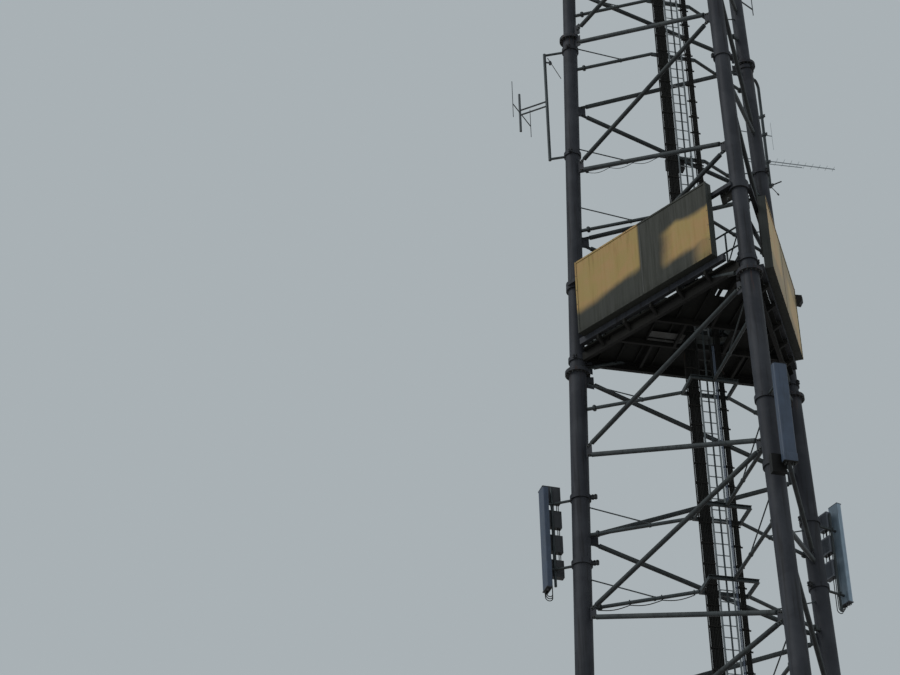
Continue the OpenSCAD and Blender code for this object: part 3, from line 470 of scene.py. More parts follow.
# Colour of the painted shade that the platform casts on the ladder.
ZINC_PLATFORM_SHADE = (0.012, 0.013, 0.012)
RUST_TONE = (0.105, 0.042, 0.018)
# Housing tones by leg: the right leg's near black is painted shade, the rear leg's pale tone is painted
# light.
RADIO_LEFT, RADIO_RIGHT_SHADED, RADIO_REAR_LIT = (0.040, 0.045, 0.050), (0.002, 0.002, 0.0015), (0.092, 0.108, 0.128)
RADIO_FADED = (0.10, 0.11, 0.11)
SIGN_SIDE, SIGN_DARK = (0.034, 0.040, 0.037), (0.015, 0.016, 0.013)


def painted_steel(w, shader, coat, faded, dirt=DIRT_AND_SHADE, streaks=0.6, gloss=0.6, shine=0.2, rust=0.0):
    """Weathered paint, with rust below the leg joints where rust is above 0. The dirt colour also paints
    shade on faces that point down.
    """
    point = surface(w)
    coated = use_group(w, WEATHER, **point, Coat=rgb(coat), Faded=rgb(faded), Dirt=rgb(dirt),
                       Streaks=streaks, Gloss=gloss, Grain=160.0)
    colour = coated["Color"]
    if rust:
        colour = use_group(w, RUST, Place=point["Place"], Under=colour, Rust=rgb(RUST_TONE),
                           Amount=rust)["Color"]
    shade(w, shader, colour, coated["Roughness"], shine, coated["Height"], 0.25, 0.002)


def radio_paint(w, shader):
    """Housings near black on the right leg as painted shade, pale on the rear leg as painted light, and
    between the two on the left.
    """
    past_left, past_front = (3.6, 4.0), (3.0, 3.4)
    point = surface(w)
    coat = w.blend(w.ramp(w.part(point["Place"], "X"), *past_left), rgb(RADIO_LEFT), rgb(RADIO_RIGHT_SHADED))
    coat = w.blend(w.ramp(w.part(point["Place"], "Y"), *past_front), coat, rgb(RADIO_REAR_LIT))
    coated = use_group(w, WEATHER, **point, Coat=coat, Faded=w.blend(0.04, coat, rgb(RADIO_FADED)),
                       Dirt=rgb(DARK_DIRT_AND_SHADE), Streaks=0.4, Gloss=0.5, Grain=160.0)
    shade(w, shader, coated["Color"], coated["Roughness"], 0.2, coated["Height"], 0.25, 0.002)


def zinc(w, shader, tone, gloss, metallic=0.35, dirt=ZINC_DIRT_AND_SHADE, shaded_heights=None):
    """Dull zinc with a spangle of flat crystals, and painted shade between two given heights, where the
    platform's shadow falls. The dirt colour also goes on faces that point down: painted shade, and painted
    light where it is paler than the zinc.
    """
    point = surface(w)
    crystals = w.add("TexVoronoi", {"Vector": point["Place"], "Scale": 65.0}).outputs["Color"]
    spangled = w.blend(w.ramp(w.part(crystals), 0.1, 0.9), rgb(tone, 0.82), rgb(tone))
    coated = use_group(w, WEATHER, **point, Coat=spangled, Faded=rgb(tone, 0.62), Dirt=rgb(dirt),
                       Streaks=0.5, Gloss=gloss, Grain=120.0)
    colour = coated["Color"]
    # Painted shade: the platform's shadow on the ladder, between the given heights.
    if shaded_heights:
        low, high = shaded_heights
        z = w.part(point["Place"])
        between = w.times(w.ramp(z, low - 0.3, low), w.ramp(z, high + 0.3, high))
        colour = w.blend(between, colour, rgb(ZINC_PLATFORM_SHADE))
    shader["Metallic"].default_value = metallic
    shade(w, shader, colour, coated["Roughness"], 0.3, coated["Height"], 0.2, 0.001)


def cable_sheath(w, shader, tone, dust):
    """Smooth sheath with dust, and a slightly different tone along each cable."""
    place = surface(w)["Place"]
    lanes = w.streaks(place, across=30.0, down=0.25, detail=2.0)
    fine = w.noise(place, scale=90.0)
    tones = w.blend(w.ramp(lanes, 0.35, 0.7), rgb(tone), rgb(tone, 2.1))
    colour = w.blend(w.ramp(fine, 0.55, 0.8, high=0.5), tones, rgb(dust))
    shade(w, shader, colour, w.ramp(fine, 0.3, 0.7, 0.50, 0.72), 0.15, fine, 0.15, 0.001)


def moulded(w, shader, tone, dirt):
    """Weathered smooth moulding, chalky in patches and with dirt that runs down it."""
    place = surface(w)["Place"]
    chalk = w.noise(place, scale=4.5, detail=5.0, rough=0.6)
    runs = w.streaks(place, across=30.0, down=1.4, detail=4.0)
    fine = w.noise(place, scale=210.0, detail=2.0)
    colour = w.blend(w.ramp(chalk, 0.35, 0.7), rgb(tone), rgb(tone, 1.25))
    colour = w.blend(w.ramp(runs, 0.5, 0.75, high=0.6), colour, rgb(dirt))
    shade(w, shader, colour, w.ramp(chalk, 0.3, 0.7, 0.40, 0.58), 0.35, fine, 0.12, 0.0006)


def sign_sheet(w, shader, f, patches, tan, glow_orange, shadow_grey):
    """Sheet of face f's sign, with its painted glow and painted shadow. The shadow is as strong as patches
    says.
    """
    out = spoke(LEG_ANGLE[f] + FACE_TURN)
    face = use_group(w, SIGN_FACE, **surface(w), Along=(-out.y, out.x, 0.0), Outward=tuple(out),
                     Patches=patches, Tan=rgb(tan), Orange=rgb(glow_orange), Grey=rgb(shadow_grey),
                     Side=rgb(SIGN_SIDE), Dark=rgb(SIGN_DARK))
    shade(w, shader, face["Color"], face["Roughness"], 0.2, face["Height"], 0.2, 0.0015)


PAINTS = {
    "mast_paint": dict(coat=(0.019, 0.022, 0.028), faded=(0.029, 0.033, 0.040), rust=0.32),
    "bracing_paint": dict(coat=(0.026, 0.034, 0.037), faded=(0.042, 0.051, 0.052), streaks=0.5, rust=0.3),
    # Near-black copy of the paint for parts that stand in shade: painted shade.
    "shaded_paint": dict(coat=(0.008, 0.008, 0.0075), faded=(0.014, 0.014, 0.012), streaks=0.4, gloss=0.7,
                         shine=0.1, rust=0.3),
    # The deck's near-black coat is painted shade under the platform.
    "deck": dict(coat=(0.0065, 0.0068, 0.0052), faded=(0.011, 0.011, 0.009), dirt=DARK_DIRT_AND_SHADE, streaks=0.4,
                 gloss=0.75, shine=0.1),
    "box_dark": dict(coat=(0.010, 0.010, 0.011), faded=(0.018, 0.018, 0.017), streaks=0.4),
    "sign_rim": dict(coat=(0.036, 0.040, 0.036), faded=(0.055, 0.058, 0.050), streaks=0.7),
}
ZINCS = {
    "galvanised": dict(tone=(0.050, 0.064, 0.068), gloss=0.5),
    "zinc_sheet": dict(tone=(0.060, 0.062, 0.060), gloss=0.6, metallic=0.1),
    "antenna_metal": dict(tone=(0.075, 0.088, 0.096), gloss=0.45, metallic=0.4),
    "aluminium": dict(tone=(0.330, 0.385, 0.410), gloss=0.45, metallic=0.3, dirt=(0.150, 0.170, 0.180)),
    # The ladder's dirt colour is paler than its zinc: its runs come out paler, and the faces that point
    # down, the rungs' undersides among them, take painted light.
    "ladder_zinc": dict(tone=(0.165, 0.195, 0.205), gloss=0.5, metallic=0.3, dirt=(0.280, 0.290, 0.290),
                        shaded_heights=(BEAM_Z - 1.0, FLOOR_Z)),
    "bolt_zinc": dict(tone=(0.052, 0.056, 0.055), gloss=0.45, metallic=0.5),
}
SHEATHS = {
    "cable_black": dict(tone=(0.0055, 0.0058, 0.0052), dust=(0.011, 0.011, 0.010)),
    "cable_grey": dict(tone=(0.070, 0.090, 0.120), dust=(0.05, 0.05, 0.05)),
}
MOULDINGS = {
    "panel_grey": dict(tone=(0.034, 0.051, 0.079), dirt=(0.020, 0.028, 0.038)),
    # The rear panel antenna's paler copy of the panel moulding is painted light.
    "panel_pale": dict(tone=(0.148, 0.210, 0.262), dirt=(0.088, 0.119, 0.148)),
}
# The right and left signs' painted glow and painted shadow are paler, and their shadow weaker, than the
# front sign's.
PALE_SIGN = dict(patches=0.45, tan=(0.368, 0.286, 0.134), glow_orange=(0.395, 0.262, 0.126),
                 shadow_grey=(0.135, 0.143, 0.118))
SIGNS = {
    "front_sign": dict(f=0, patches=1.0, tan=(0.262, 0.190, 0.058), glow_orange=(0.290, 0.182, 0.066),
                       shadow_grey=(0.020, 0.023, 0.016)),
    "right_sign": dict(f=1, **PALE_SIGN),
    "left_sign": dict(f=2, **PALE_SIGN),
}
FINISH = {}
for paint, looks in ((radio_paint, {"radio_grey": {}}), (painted_steel, PAINTS), (zinc, ZINCS),
                     (cable_sheath, SHEATHS), (moulded, MOULDINGS), (sign_sheet, SIGNS)):
    for name, look in looks.items():
        FINISH[name], w, shader = new_material(name)
        paint(w, shader, **look)

# A sign's finish has the sign's name, these nodes have one of their own, the rest have their slot's
OWN_FINISH = {"rear_panel_antenna": "panel_pale", "long_yagi": "aluminium", "short_yagi": "aluminium",
              "climbing_ladder": "ladder_zinc", "cable_ladders": "shaded_paint",
              "platform_beams": "shaded_paint", "platform_joists": "shaded_paint",
              "sign_brackets": "shaded_paint"}
slots = {part["node"]: part["material_slot"] for part in frame["record"]["subparts"]}
for name, node in frame["nodes"].items():
    node.data.materials.clear()
    node.data.materials.append(FINISH[name if name in SIGNS else OWN_FINISH.get(name, slots[name])])


# Modelling

def object_mode(piece):
    """Leaves edit mode, so that the piece's mesh holds what was done in it."""
    bpy.context.view_layer.objects.active = piece
    if piece.mode == "EDIT":
        bpy.ops.object.mode_set(mode="OBJECT")


def all_off():
    """Leaves edit mode and deselects everything."""
    if bpy.context.object:
        object_mode(bpy.context.object)
    bpy.ops.object.select_all(action="DESELECT")


def link(thing):
    bpy.context.scene.collection.objects.link(thing)


def block(size, place=(0, 0, 0)):
    all_off()
    bpy.ops.mesh.primitive_cube_add(size=1, location=place, scale=size)
    bpy.ops.object.transform_apply(location=True, rotation=False, scale=True)
    return bpy.context.object


def round_bar(radius, length, sides, foot_z=0.0):
    """An upright cylinder that stands at height foot_z."""
    all_off()
    bpy.ops.mesh.primitive_cylinder_add(vertices=sides, radius=radius, depth=length,
                                        location=(0, 0, foot_z + length / 2))
    bpy.ops.object.transform_apply(location=True, rotation=False, scale=False)
    return bpy.context.object


def hoop(radius, thick, segments, sides):
    all_off()
    bpy.ops.mesh.primitive_torus_add(major_radius=radius, minor_radius=thick, major_segments=segments,
                                     minor_segments=sides)
    return bpy.context.object


def choose(piece, test, kind="faces"):
    """Selects the faces, edges or vertices for which test is true, in edit mode."""
    if piece.mode != "EDIT":
        bpy.context.view_layer.objects.active = piece
        bpy.ops.object.mode_set(mode="EDIT")
    bpy.ops.mesh.select_mode(type={"faces": "FACE", "edges": "EDGE", "verts": "VERT"}[kind])
    bpy.ops.mesh.select_all(action="DESELECT")
    mesh = bmesh.from_edit_mesh(piece.data)
    for part in getattr(mesh, kind):
        if test(part):
            part.select_set(True)
    mesh.select_flush_mode()
    bmesh.update_edit_mesh(piece.data)


def faces_up(face):
    return face.normal.z > 0.9


def faces_down(face):
    return face.normal.z < -0.9


def faces_back(face):
    return face.normal.x < -0.9


def faces_round(face):
    return abs(face.normal.z) < 0.1


def inset(thickness, depth=0.0):
    bpy.ops.mesh.inset(thickness=thickness, depth=depth)


def resize(x, y, z):
    bpy.ops.transform.resize(value=(x, y, z), center_override=(0, 0, 0))


def extrude(step):
    bpy.ops.mesh.extrude_region_move(TRANSFORM_OT_translate={"value": step})


def with_modifier(piece, kind, **settings):
    """Adds a modifier with these settings and applies it."""
    object_mode(piece)
    modifier = piece.modifiers.new(kind, kind)
    for name, value in settings.items():
        setattr(modifier, name, value)
    bpy.ops.object.modifier_apply(modifier=modifier.name)
    return piece


def bevelled(piece, width, segments=2):
    return with_modifier(piece, "BEVEL", width=width, segments=segments, angle_limit=BEVEL_ANGLE)


def moved(piece, place):
    """Moves a piece's mesh, while its object stays at the origin."""
    object_mode(piece)
    piece.data.transform(place)
    return piece


def joined(pieces):
    all_off()
    for piece in pieces:
        piece.select_set(True)
    bpy.context.view_layer.objects.active = pieces[0]
    if len(pieces) > 1:
        bpy.ops.object.join()
    return bpy.context.view_layer.objects.active


def placed(pattern, places):
    """Copies a finished pattern to each place, and joins the copies."""
    all_off()
    copies = []
    for place in places:
        copy = pattern.copy()
        copy.data = pattern.data.copy()
        copy.data.transform(place)
        link(copy)
        copies.append(copy)
    mesh = pattern.data
    bpy.data.objects.remove(pattern)
    bpy.data.meshes.remove(mesh)
    return joined(copies)


def done(piece, name, finish):
    """Names a piece, gives it its finish and lets it ride on the mast."""
    all_off()
    piece.select_set(True)
    bpy.context.view_layer.objects.active = piece
    bpy.ops.object.shade_smooth_by_angle(angle=SMOOTH_ANGLE)
    piece.name = name
    piece.data.name = name
    piece.data.materials.clear()
    piece.data.materials.append(FINISH[finish])
    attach(piece, "root")


def tube_between(a, b, radius, sides=12):
    """A tube from a to b with tapered ends."""
    tube = round_bar(radius, (b - a).length, sides)
    for test, way in ((faces_up, 1), (faces_down, -1)):
        choose(tube, test)
        inset(radius * 0.3)
        bpy.ops.transform.translate(value=(0, 0, way * radius * 0.4))
    return moved(tube, standing(a, b - a))


def upright_tube(length, radius, sides):
    return tube_between(Vector((0, 0, 0)), Vector((0, 0, length)), radius, sides)


def hex_nut(flats, tall, stud=0.0):
    """A hexagon nut with a chamfer, on a washer, and with the bolt's end above it."""
    nut = round_bar(flats / sqrt(3), tall, 6, WASHER_T)
    choose(nut, faces_up)
    inset(flats * 0.07, depth=tall * 0.08)
    if stud:
        inset(flats * 0.16)
        extrude((0, 0, stud))
    washer = round_bar(flats * 0.92, WASHER_T, 12)
    return joined([nut, washer])


def bolts_through(name, places, low, high, nut):
    """A nut of the given sizes on both sides of what lies between low and high at each place."""
    done(placed(hex_nut(*nut), both_ends(places, low, high)), name, "bolt_zinc")


# Feet and legs

def anchor_nuts():
    """A nut and a lock nut on each anchor bolt of the feet."""
    flats, tall, lock_tall, stud = 0.050, 0.027, 0.018, 0.030
    places = []
    for k in range(3):
        places += around(shift(*leg_at(k, 0)) @ shift(0, 0, FOOT_T), ANCHOR_N, ANCHOR_R, 180 / ANCHOR_N)
    nut = hex_nut(flats, tall)
    lock = moved(hex_nut(flats, lock_tall, stud), shift(0, 0, WASHER_T + tall))
    done(placed(joined([nut, lock]), places), "anchor_nuts", "bolt_zinc")


def joint_bolts():
    """Bolts through the pairs of ring flanges at the leg joints."""
    count, start, radii = 16, 11, (0.250, 0.250, 0.225)
    places = []
    for k in range(3):
        for joint, radius in zip(JOINTS, radii):
            places += around(on_leg(k, joint), count, radius, start)
    bolts_through("joint_bolts", places, -FLANGE_T - GAP, FLANGE_T + GAP, LARGE_NUT)


def ring_welds():
    """Weld beads where the ring flanges and the caps meet the leg tubes."""
    thick, out = 0.010, 0.002
    rings = []
    for joint in JOINTS:
        rings += [(joint - FLANGE_T - GAP, leg_d(joint - 1)), (joint + FLANGE_T + GAP, leg_d(joint))]
    rings.append((MAST_TOP - FLANGE_T - 0.001, LEG_D[2]))
    beads = [placed(hoop(d / 2 + out, thick, 40, 6), [on_leg(k, z) for k in range(3)]) for z, d in rings]
    done(joined(beads), "ring_welds", "mast_paint")


def clamp_bands(k):
    """Leg k's clamp bands: height, how far out, angles, and height and length of the lips."""
    bands = [(z, BAND_OUT, (180,), BAND_H, LONG_LIP_L) for z in PANEL_BANDS]
    low = bracket_z(k)
    heights = (BEAM_Z, low) if k == 1 else (BEAM_Z, low, low + BRACKET_L)
    bands += [(z, BAND_OUT, (90, 270), BAND_H, LIP_L) for z in heights]
    bands.append((SIGN_BAND_Z, SIGN_BAND_OUT, (180,), SIGN_BAND_H, LIP_L))
    return bands


def clamp_lips():
    """The lips of the clamp bands, and the bolts that draw them together."""
    lap, lip_h, bolt_face = 0.008, 0.100, 0.024
    lips = []
    bolts = []
    for k in range(3):
        for z, out, angles, tall, long in clamp_bands(k):
            steps_up = (-0.07, 0.0, 0.07) if tall == SIGN_BAND_H else (-0.03, 0.03)
            steps_out = (-0.025, 0.040) if long == LONG_LIP_L else (0.004,)
            size = Matrix.Diagonal((long / LIP_L, 1, tall / BAND_H, 1))
            for angle in angles:
                middle = on_leg(k, z) @ turn(angle) @ shift(leg_d(z) / 2 + out - lap + long / 2, 0, 0)
                lips += [middle @ shift(0, s * LIP_T, 0) @ size for s in (-1, 1)]
                bolts += [middle @ shift(x, 0, up) @ turn(90, "X") for up in steps_up for x in steps_out]
    lip = bevelled(block((LIP_L, LIP_T, lip_h)), 0.004)
    done(placed(lip, lips), "clamp_lips", "mast_paint")
    bolts_through("clamp_bolts", bolts, -bolt_face, bolt_face, MIDDLE_NUT)


# Bracing

def bracing_bolts():
    """Two bolts through each flat tip and its node plate."""
    distances, plate_face, tip_face = (0.295, 0.350), -0.0195, 0.0075
    places = [standing(end + d * along, across) for end, along, across in brace_ends() for d in distances]
    bolts_through("bracing_bolts", places, plate_face, tip_face, MIDDLE_NUT)


def tube_ends():
    """A stepped cap on the round end of each bracing tube."""
    radius, distance = 0.056, 0.432
    cap = round_bar(radius, 0.010, 20)
    choose(cap, faces_up)
    inset(0.010, depth=0.012)
    inset(0.022, depth=0.006)
    places = [standing(end + distance * along, -along) for end, along, across in brace_ends()]
    done(placed(cap, places), "tube_ends", "bracing_paint")


# Inner supports

def collar_bolts():
    """Six bolts through the collar of each support pipe."""
    count, radius, start = 6, 0.058, 30
    places = []
    for z, a, b in support_pipes():
        along = (b - a).normalized()
        middle = a + (leg_d(z) / 2 - SUPPORT_LAP + COLLAR_GAP + COLLAR_T / 2) * along
        places += around(standing(middle, along), count, radius, start)
    bolts_through("collar_bolts", places, -COLLAR_T / 2, COLLAR_T / 2, SMALL_NUT)


def rod_straps():
    """A strap round each support pipe where a tie rod lands."""
    radius, length = 0.048, 0.050
    strap = round_bar(radius, length, 20, -length / 2)
    choose(strap, faces_round)
    inset(0.006, depth=0.004)
    places = [standing(a + TIE_SHARE * (b - a), (b - a).normalized()) for z, a, b in support_pipes()]
    done(placed(strap, places), "rod_straps", "galvanised")


def stiles():
    """Height and u of each crossing of a ladder stile and a centre frame."""
    return [(z, LADDER_U + s * LADDER_W / 2) for z in SUPPORTS for s in (-1, 1)]


def ladder_blocks():
    """Blocks between the ladder and the back beams."""
    wide, deep, tall = 0.038, 0.040, 0.085
    places = [in_plan(u, BACK_V + BEAM_W / 2 + deep / 2, z) for z, u in stiles()]
    done(placed(bevelled(block((wide, deep, tall)), 0.004), places), "ladder_blocks", "galvanised")


def ladder_clasps():
    """Pairs of U bolts round the stiles: half a hoop each, with straight ends."""
    radius, thick, straight, apart = 0.026, 0.005, 0.034, 0.056
    clasp = hoop(radius, thick, 24, 8)
    choose(clasp, lambda face: face.calc_center_median().y > 0.001)
    bpy.ops.mesh.delete(type="FACE")
    choose(clasp, lambda edge: edge.is_boundary, "edges")
    extrude((0, straight, 0))
    bpy.ops.mesh.edge_face_add()
    moved(clasp, turn(180))
    places = [in_plan(u, LADDER_V, z + s * apart / 2) for z, u in stiles() for s in (-1, 1)]
    done(placed(clasp, places), "ladder_clasps", "bolt_zinc")


def cable_straps():
    """A flat case across the feeder cables at each step of the cable ladders, like a strap."""
    tall, deep, wall, reach = 0.026, 0.0315, 0.004, 0.0565
    steps = int((LADDER_TOP - LADDER_FOOT) / STEP_PITCH)
    heights = [LADDER_FOOT + (i + 0.5) * STEP_PITCH for i in range(steps)]
    straps = []
    for u, wide in ((WIDE_U, WIDE_W - TRAY_SIDE), (NARROW_U, NARROW_W - TRAY_SIDE)):
        strap = block((wide, deep, tall), (0, deep / 2, 0))
        with_modifier(strap, "SOLIDIFY", thickness=wall, offset=0)
        straps.append(placed(strap, [in_plan(u, TRAY_V + reach, z) for z in heights]))
    done(joined(straps), "cable_straps", "shaded_paint")


def groove_cables():
    """Thinner cables beside and between the feeder cables, under the straps."""
    rise = sqrt((CABLE_D + GROOVE_CABLE_D) ** 2 / 4 - CABLE_PITCH ** 2 / 4) + 0.0005
    places = []
    for u, wide in ((WIDE_U, WIDE_W), (NARROW_U, NARROW_W)):
        feeders = int((wide - 2 * TRAY_SIDE) / CABLE_PITCH)
        places += [in_plan(u + (i - feeders / 2) * CABLE_PITCH, TRAY_V + CABLE_OUT + rise, LADDER_FOOT)
                   for i in range(feeders + 1)]
    cable = upright_tube(LADDER_TOP - LADDER_FOOT, GROOVE_CABLE_D / 2, 10)
    done(placed(cable, places), "groove_cables", "cable_black")


# Platform

def rib_spans(u):
    """Where the ribs at u run: between the edge beams, the joists and the hatch."""
    edge_gap, far_gap, lap, shortest = 0.02, 0.06, 0.005, 0.12
    edge_v = side(BEAM_Z) / (2 * sqrt(3)) - EDGE_W / 2
    far = 2 * edge_v - sqrt(3) * abs(u) - far_gap
    joist_v = HATCH_W / 2 + JOIST_W / 2
    outside, inside = joist_v + JOIST_W / 2 + lap, joist_v - JOIST_W / 2 - lap
    spans = [(edge_gap - edge_v, -outside), (outside, far)]
    if abs(u) > HATCH_L / 2 + JOIST_W:
        spans.append((-inside, min(inside, far)))
    return [(start, end) for start, end in spans if end - start > shortest]


def floor_ribs():
    """Ribs with a wider foot under the floor plates."""
    pitch, web, tall, flange, widened = 0.42, 0.006, 0.055, 0.005, 5.0
    ribs = []
    for i in range(-5, 6):
        for start, end in rib_spans(i * pitch):
            rib = block((web, end - start, tall))
            choose(rib, faces_down)
            extrude((0, 0, -flange))
            resize(widened, 1, 1)
            ribs.append(moved(rib, in_plan(i * pitch, (start + end) / 2, FLOOR_Z - tall / 2)))
    done(joined(ribs), "floor_ribs", "deck")


def floor_sheets():
    """Two pale strips of sheet below the floor, beside the ladder."""
    length, thick, u, drop = 0.80, 0.004, -0.845, 0.064
    sheets = []
    for v, wide in ((-0.136, 0.228), (-0.348, 0.076)):
        sheet = block((length, wide, thick))
        choose(sheet, faces_down)
        inset(0.012)
        extrude((0, 0, 0.003))
        sheets.append(moved(sheet, in_plan(u, v, FLOOR_Z - drop)))
    done(joined(sheets), "floor_sheets", "zinc_sheet")


def post_shoes():
    """A base plate with a socket below each handrail post."""
    wide, thick = 0.100, 0.008
    half = side(FLOOR_Z) / 2 - POST_IN
    places = [on_face(f, FLOOR_Z) @ shift(-RAIL_IN, (2 * n / 3 - 1) * half, FLOOR_T)
              for f in range(3) for n in range(4)]
    socket = round_bar(0.034, 0.030, 20, thick)
    base = bevelled(block((wide, wide, thick), (0, 0, thick / 2)), 0.003)
    done(placed(joined([base, socket]), places), "post_shoes", "galvanised")


# Signs

def seam_strips():
    """A strip over the seam in the middle of each sign's face."""
    thick, wide = 0.003, 0.034
    strip = bevelled(block((thick, wide, SIGN_H - 2 * SIGN_RIM - 0.002)), 0.001, 1)
    places = [on_sign(f, SIGN_H / 2) @ shift(SIGN_T - SIGN_RECESS + thick / 2, 0, 0) for f in range(3)]
    done(placed(strip, places), "seam_strips", "sign_rim")


def sign_screws():
    """Screws all round each sign's rim."""
    from_rim, from_end, spaces_along, spaces_up = 0.022, 0.05, 10, 5
    places = []
    for f in range(3):
        wide = SIGN_W[f]
        for i in range(spaces_along + 1):
            y = -wide / 2 + from_end + i * (wide - 2 * from_end) / spaces_along
            places += [on_sign(f, up) @ shift(SIGN_T, y, 0) for up in (from_rim, SIGN_H - from_rim)]
        for i in range(1, spaces_up):
            places += [on_sign(f, i * SIGN_H / spaces_up) @ shift(SIGN_T, s * (wide / 2 - from_rim), 0)
                       for s in (-1, 1)]
    screw = round_bar(0.011, 0.003, 10)
    choose(screw, faces_up)
    inset(0.004, depth=0.003)
    places = [p @ turn(90, "Y") for p in places]
    done(placed(screw, places), "sign_screws", "bolt_zinc")


def sign_stays():
    """Six upright stiffeners with a hollow back behind each sign."""
    deep, wide, short, pitch, count = 0.040, 0.060, 0.80, 0.72, 6
    stay = block((deep, wide, SIGN_H - short))
    choose(stay, faces_back)
    inset(0.012, depth=-0.026)
    places = [on_sign(f, SIGN_H / 2) @ shift(-deep / 2, (i - (count - 1) / 2) * pitch, 0)
              for f in range(3) for i in range(count)]
    done(placed(stay, places), "sign_stays", "sign_rim")


def rail_gussets():
    """Gusset plates from the leg clamps along the upper sign rails, each with three bolts."""
    thick, long, tall, cut = 0.030, 0.34, 0.37, 0.05
    from_leg, above_rail, lap = 0.265, 0.04, 0.018
    bolt_spots = ((-0.10, -0.125), (0.02, -0.125), (0.06, -0.30))
    places = []
    for f in range(3):
        for s in (-1, 1):
            y = s * (side(SIGN_BAND_Z) / 2 - from_leg)
            places.append(on_face(f, SIGN_BAND_Z) @ shift(SIGN_OFF - SIGN_ARM - lap, y, above_rail)
                          @ turn(90 - s * 90))
    plate = block((thick, long, tall), (0, 0, -tall / 2))
    choose(plate, lambda vert: vert.co.y < 0 and vert.co.z < -tall / 2, "verts")
    bpy.ops.transform.translate(value=(0, cut, 0))
    done(placed(bevelled(plate, 0.005), places), "rail_gussets", "shaded_paint")
    bolts = [p @ shift(0, y, z) @ turn(90, "Y") for p in places for y, z in bolt_spots]
    bolts_through("gusset_bolts", bolts, -thick / 2, thick / 2, LARGE_NUT)


# Panel antennas and radio housings

def long_panel_cap():
    """The long lower cap of the right leg's panel antenna."""
    wall = 0.003
    size = (PANEL_T + 2 * wall, PANEL_W + 2 * wall, LONG_CAP)
    cap = bevelled(block(size, (0, 0, -LONG_CAP / 2)), 0.014, 3)
    choose(cap, faces_down)
    inset(0.010, depth=-0.006)
    done(placed(cap, [on_panel(1, PANEL_FOOT[1] + CAP_LAP)]), "long_panel_cap", "panel_grey")


def panel_low(k):
    """Lower end of leg k's panel antenna, just inside the right leg's long cap."""
    return PANEL_FOOT[k] - (LONG_CAP - CAP_LAP - 0.002 if k == 1 else 0)


def panel_ends():
    """An end cap at the foot and at the top of each panel antenna."""
    wall, tall, out = 0.004, 0.026, 0.004
    end = bevelled(block((PANEL_T + 2 * wall, PANEL_W + 2 * wall, tall)), 0.010, 3)
    places = []
    for k in range(3):
        places += [on_panel(k, panel_low(k) - out), on_panel(k, PANEL_FOOT[k] + PANEL_TALL[k] + out)]
    done(placed(end, places), "panel_ends", "radio_grey")


def panel_plugs():
    """Two rows of cable connectors below each panel antenna."""
    radius, tall, stem, drop = 0.013, 0.040, 0.018, 0.045
    plug = round_bar(radius, tall, 12)
    choose(plug, faces_down)
    inset(0.003)
    extrude((0, 0, -stem))
    places = [on_panel(k, panel_low(k) - drop) @ shift(x, y, 0)
              for k in range(3) for x in (-0.028, 0.028) for y in (-0.10, -0.05, 0.05, 0.10)]
    done(placed(plug, places), "panel_plugs", "bolt_zinc")


def pole_grips():
    """Two-part clamps on the poles, and larger ones on the rear bracket pipe."""
    radius, tall, lug, larger = 0.042, 0.070, 0.030, 1.25
    places = [on_pole(k, z) for k in range(3) for z in PANEL_BANDS]
    turned = turn(LEG_ANGLE[2] + BRACKET_TURN[2]) @ Matrix.Scale(larger, 4)
    places += [shift(*on_bracket(2, up)) @ turned for up in (0.0, 0.755, SHORT_BOOM_UP, 2.25)]
    grip = round_bar(radius, tall, 24, -tall / 2)
    choose(grip, lambda face: abs(face.normal.y) > 0.96 and faces_round(face))
    bpy.ops.mesh.extrude_region_shrink_fatten(TRANSFORM_OT_shrink_fatten={"value": lug})
    done(placed(bevelled(grip, 0.003, 1), places), "pole_grips", "galvanised")


def radio_fins():
    """Nine tapered cooling fins on the back of each radio housing."""
    out, thick, tall, pitch, count = 0.012, 0.004, 0.36, 0.030, 9
    fins = []
    for i in range(count):
        fin = block((out, thick, tall))
        choose(fin, faces_back)
        resize(1, 0.5, 0.92)
        fins.append(moved(fin, shift(0, (i - (count - 1) / 2) * pitch, 0)))
    radios = ((1, -1), (2, 1), (2, 2), (2, 3), (0, 0), (0, 1), (0, 2), (0, 3))
    places = [on_radio(k, i) @ shift(-RADIO_T / 2 - out / 2, 0, 0) for k, i in radios]
    done(placed(joined(fins), places), "radio_fins", "radio_grey")


def upper_radio():
    """The left leg's fourth radio housing, at the top of its pole."""
    radio = bevelled(block((RADIO_T, RADIO_W, RADIO_H)), 0.012, 3)
    done(placed(radio, [on_radio(0, 3)]), "upper_radio", "radio_grey")


def radio_cables():
    """Short cables with connectors between the housings that stand above each other."""
    radius, plug_r, plug_l, plug_in, lap = 0.010, 0.014, 0.030, 0.010, 0.012
    left_spots = ((-0.19, -0.11), (-0.14, -0.08), (-0.08, -0.12), (-0.01, -0.09))
    rear_spots = ((0.02, 0.09), (-0.02, 0.14), (0.01, 0.20), (-0.01, 0.27))
    places = []
    for k, radios, spots in ((0, (0, 1, 2), left_spots), (2, (1, 2), rear_spots)):
        for i in radios:
            foot = on_pole(k, radio_z(k, i) + RADIO_H - lap)
            places += [foot @ shift(x, y, 0) for x, y in spots]
    long = RADIO_STEP - RADIO_H + 0.015
    cable = upright_tube(long, radius, 10)
    plugs = [round_bar(plug_r, plug_l, 12, z) for z in (plug_in, long - plug_l)]
    done(placed(joined([cable] + plugs), places), "radio_cables", "cable_black")


# Other antennas

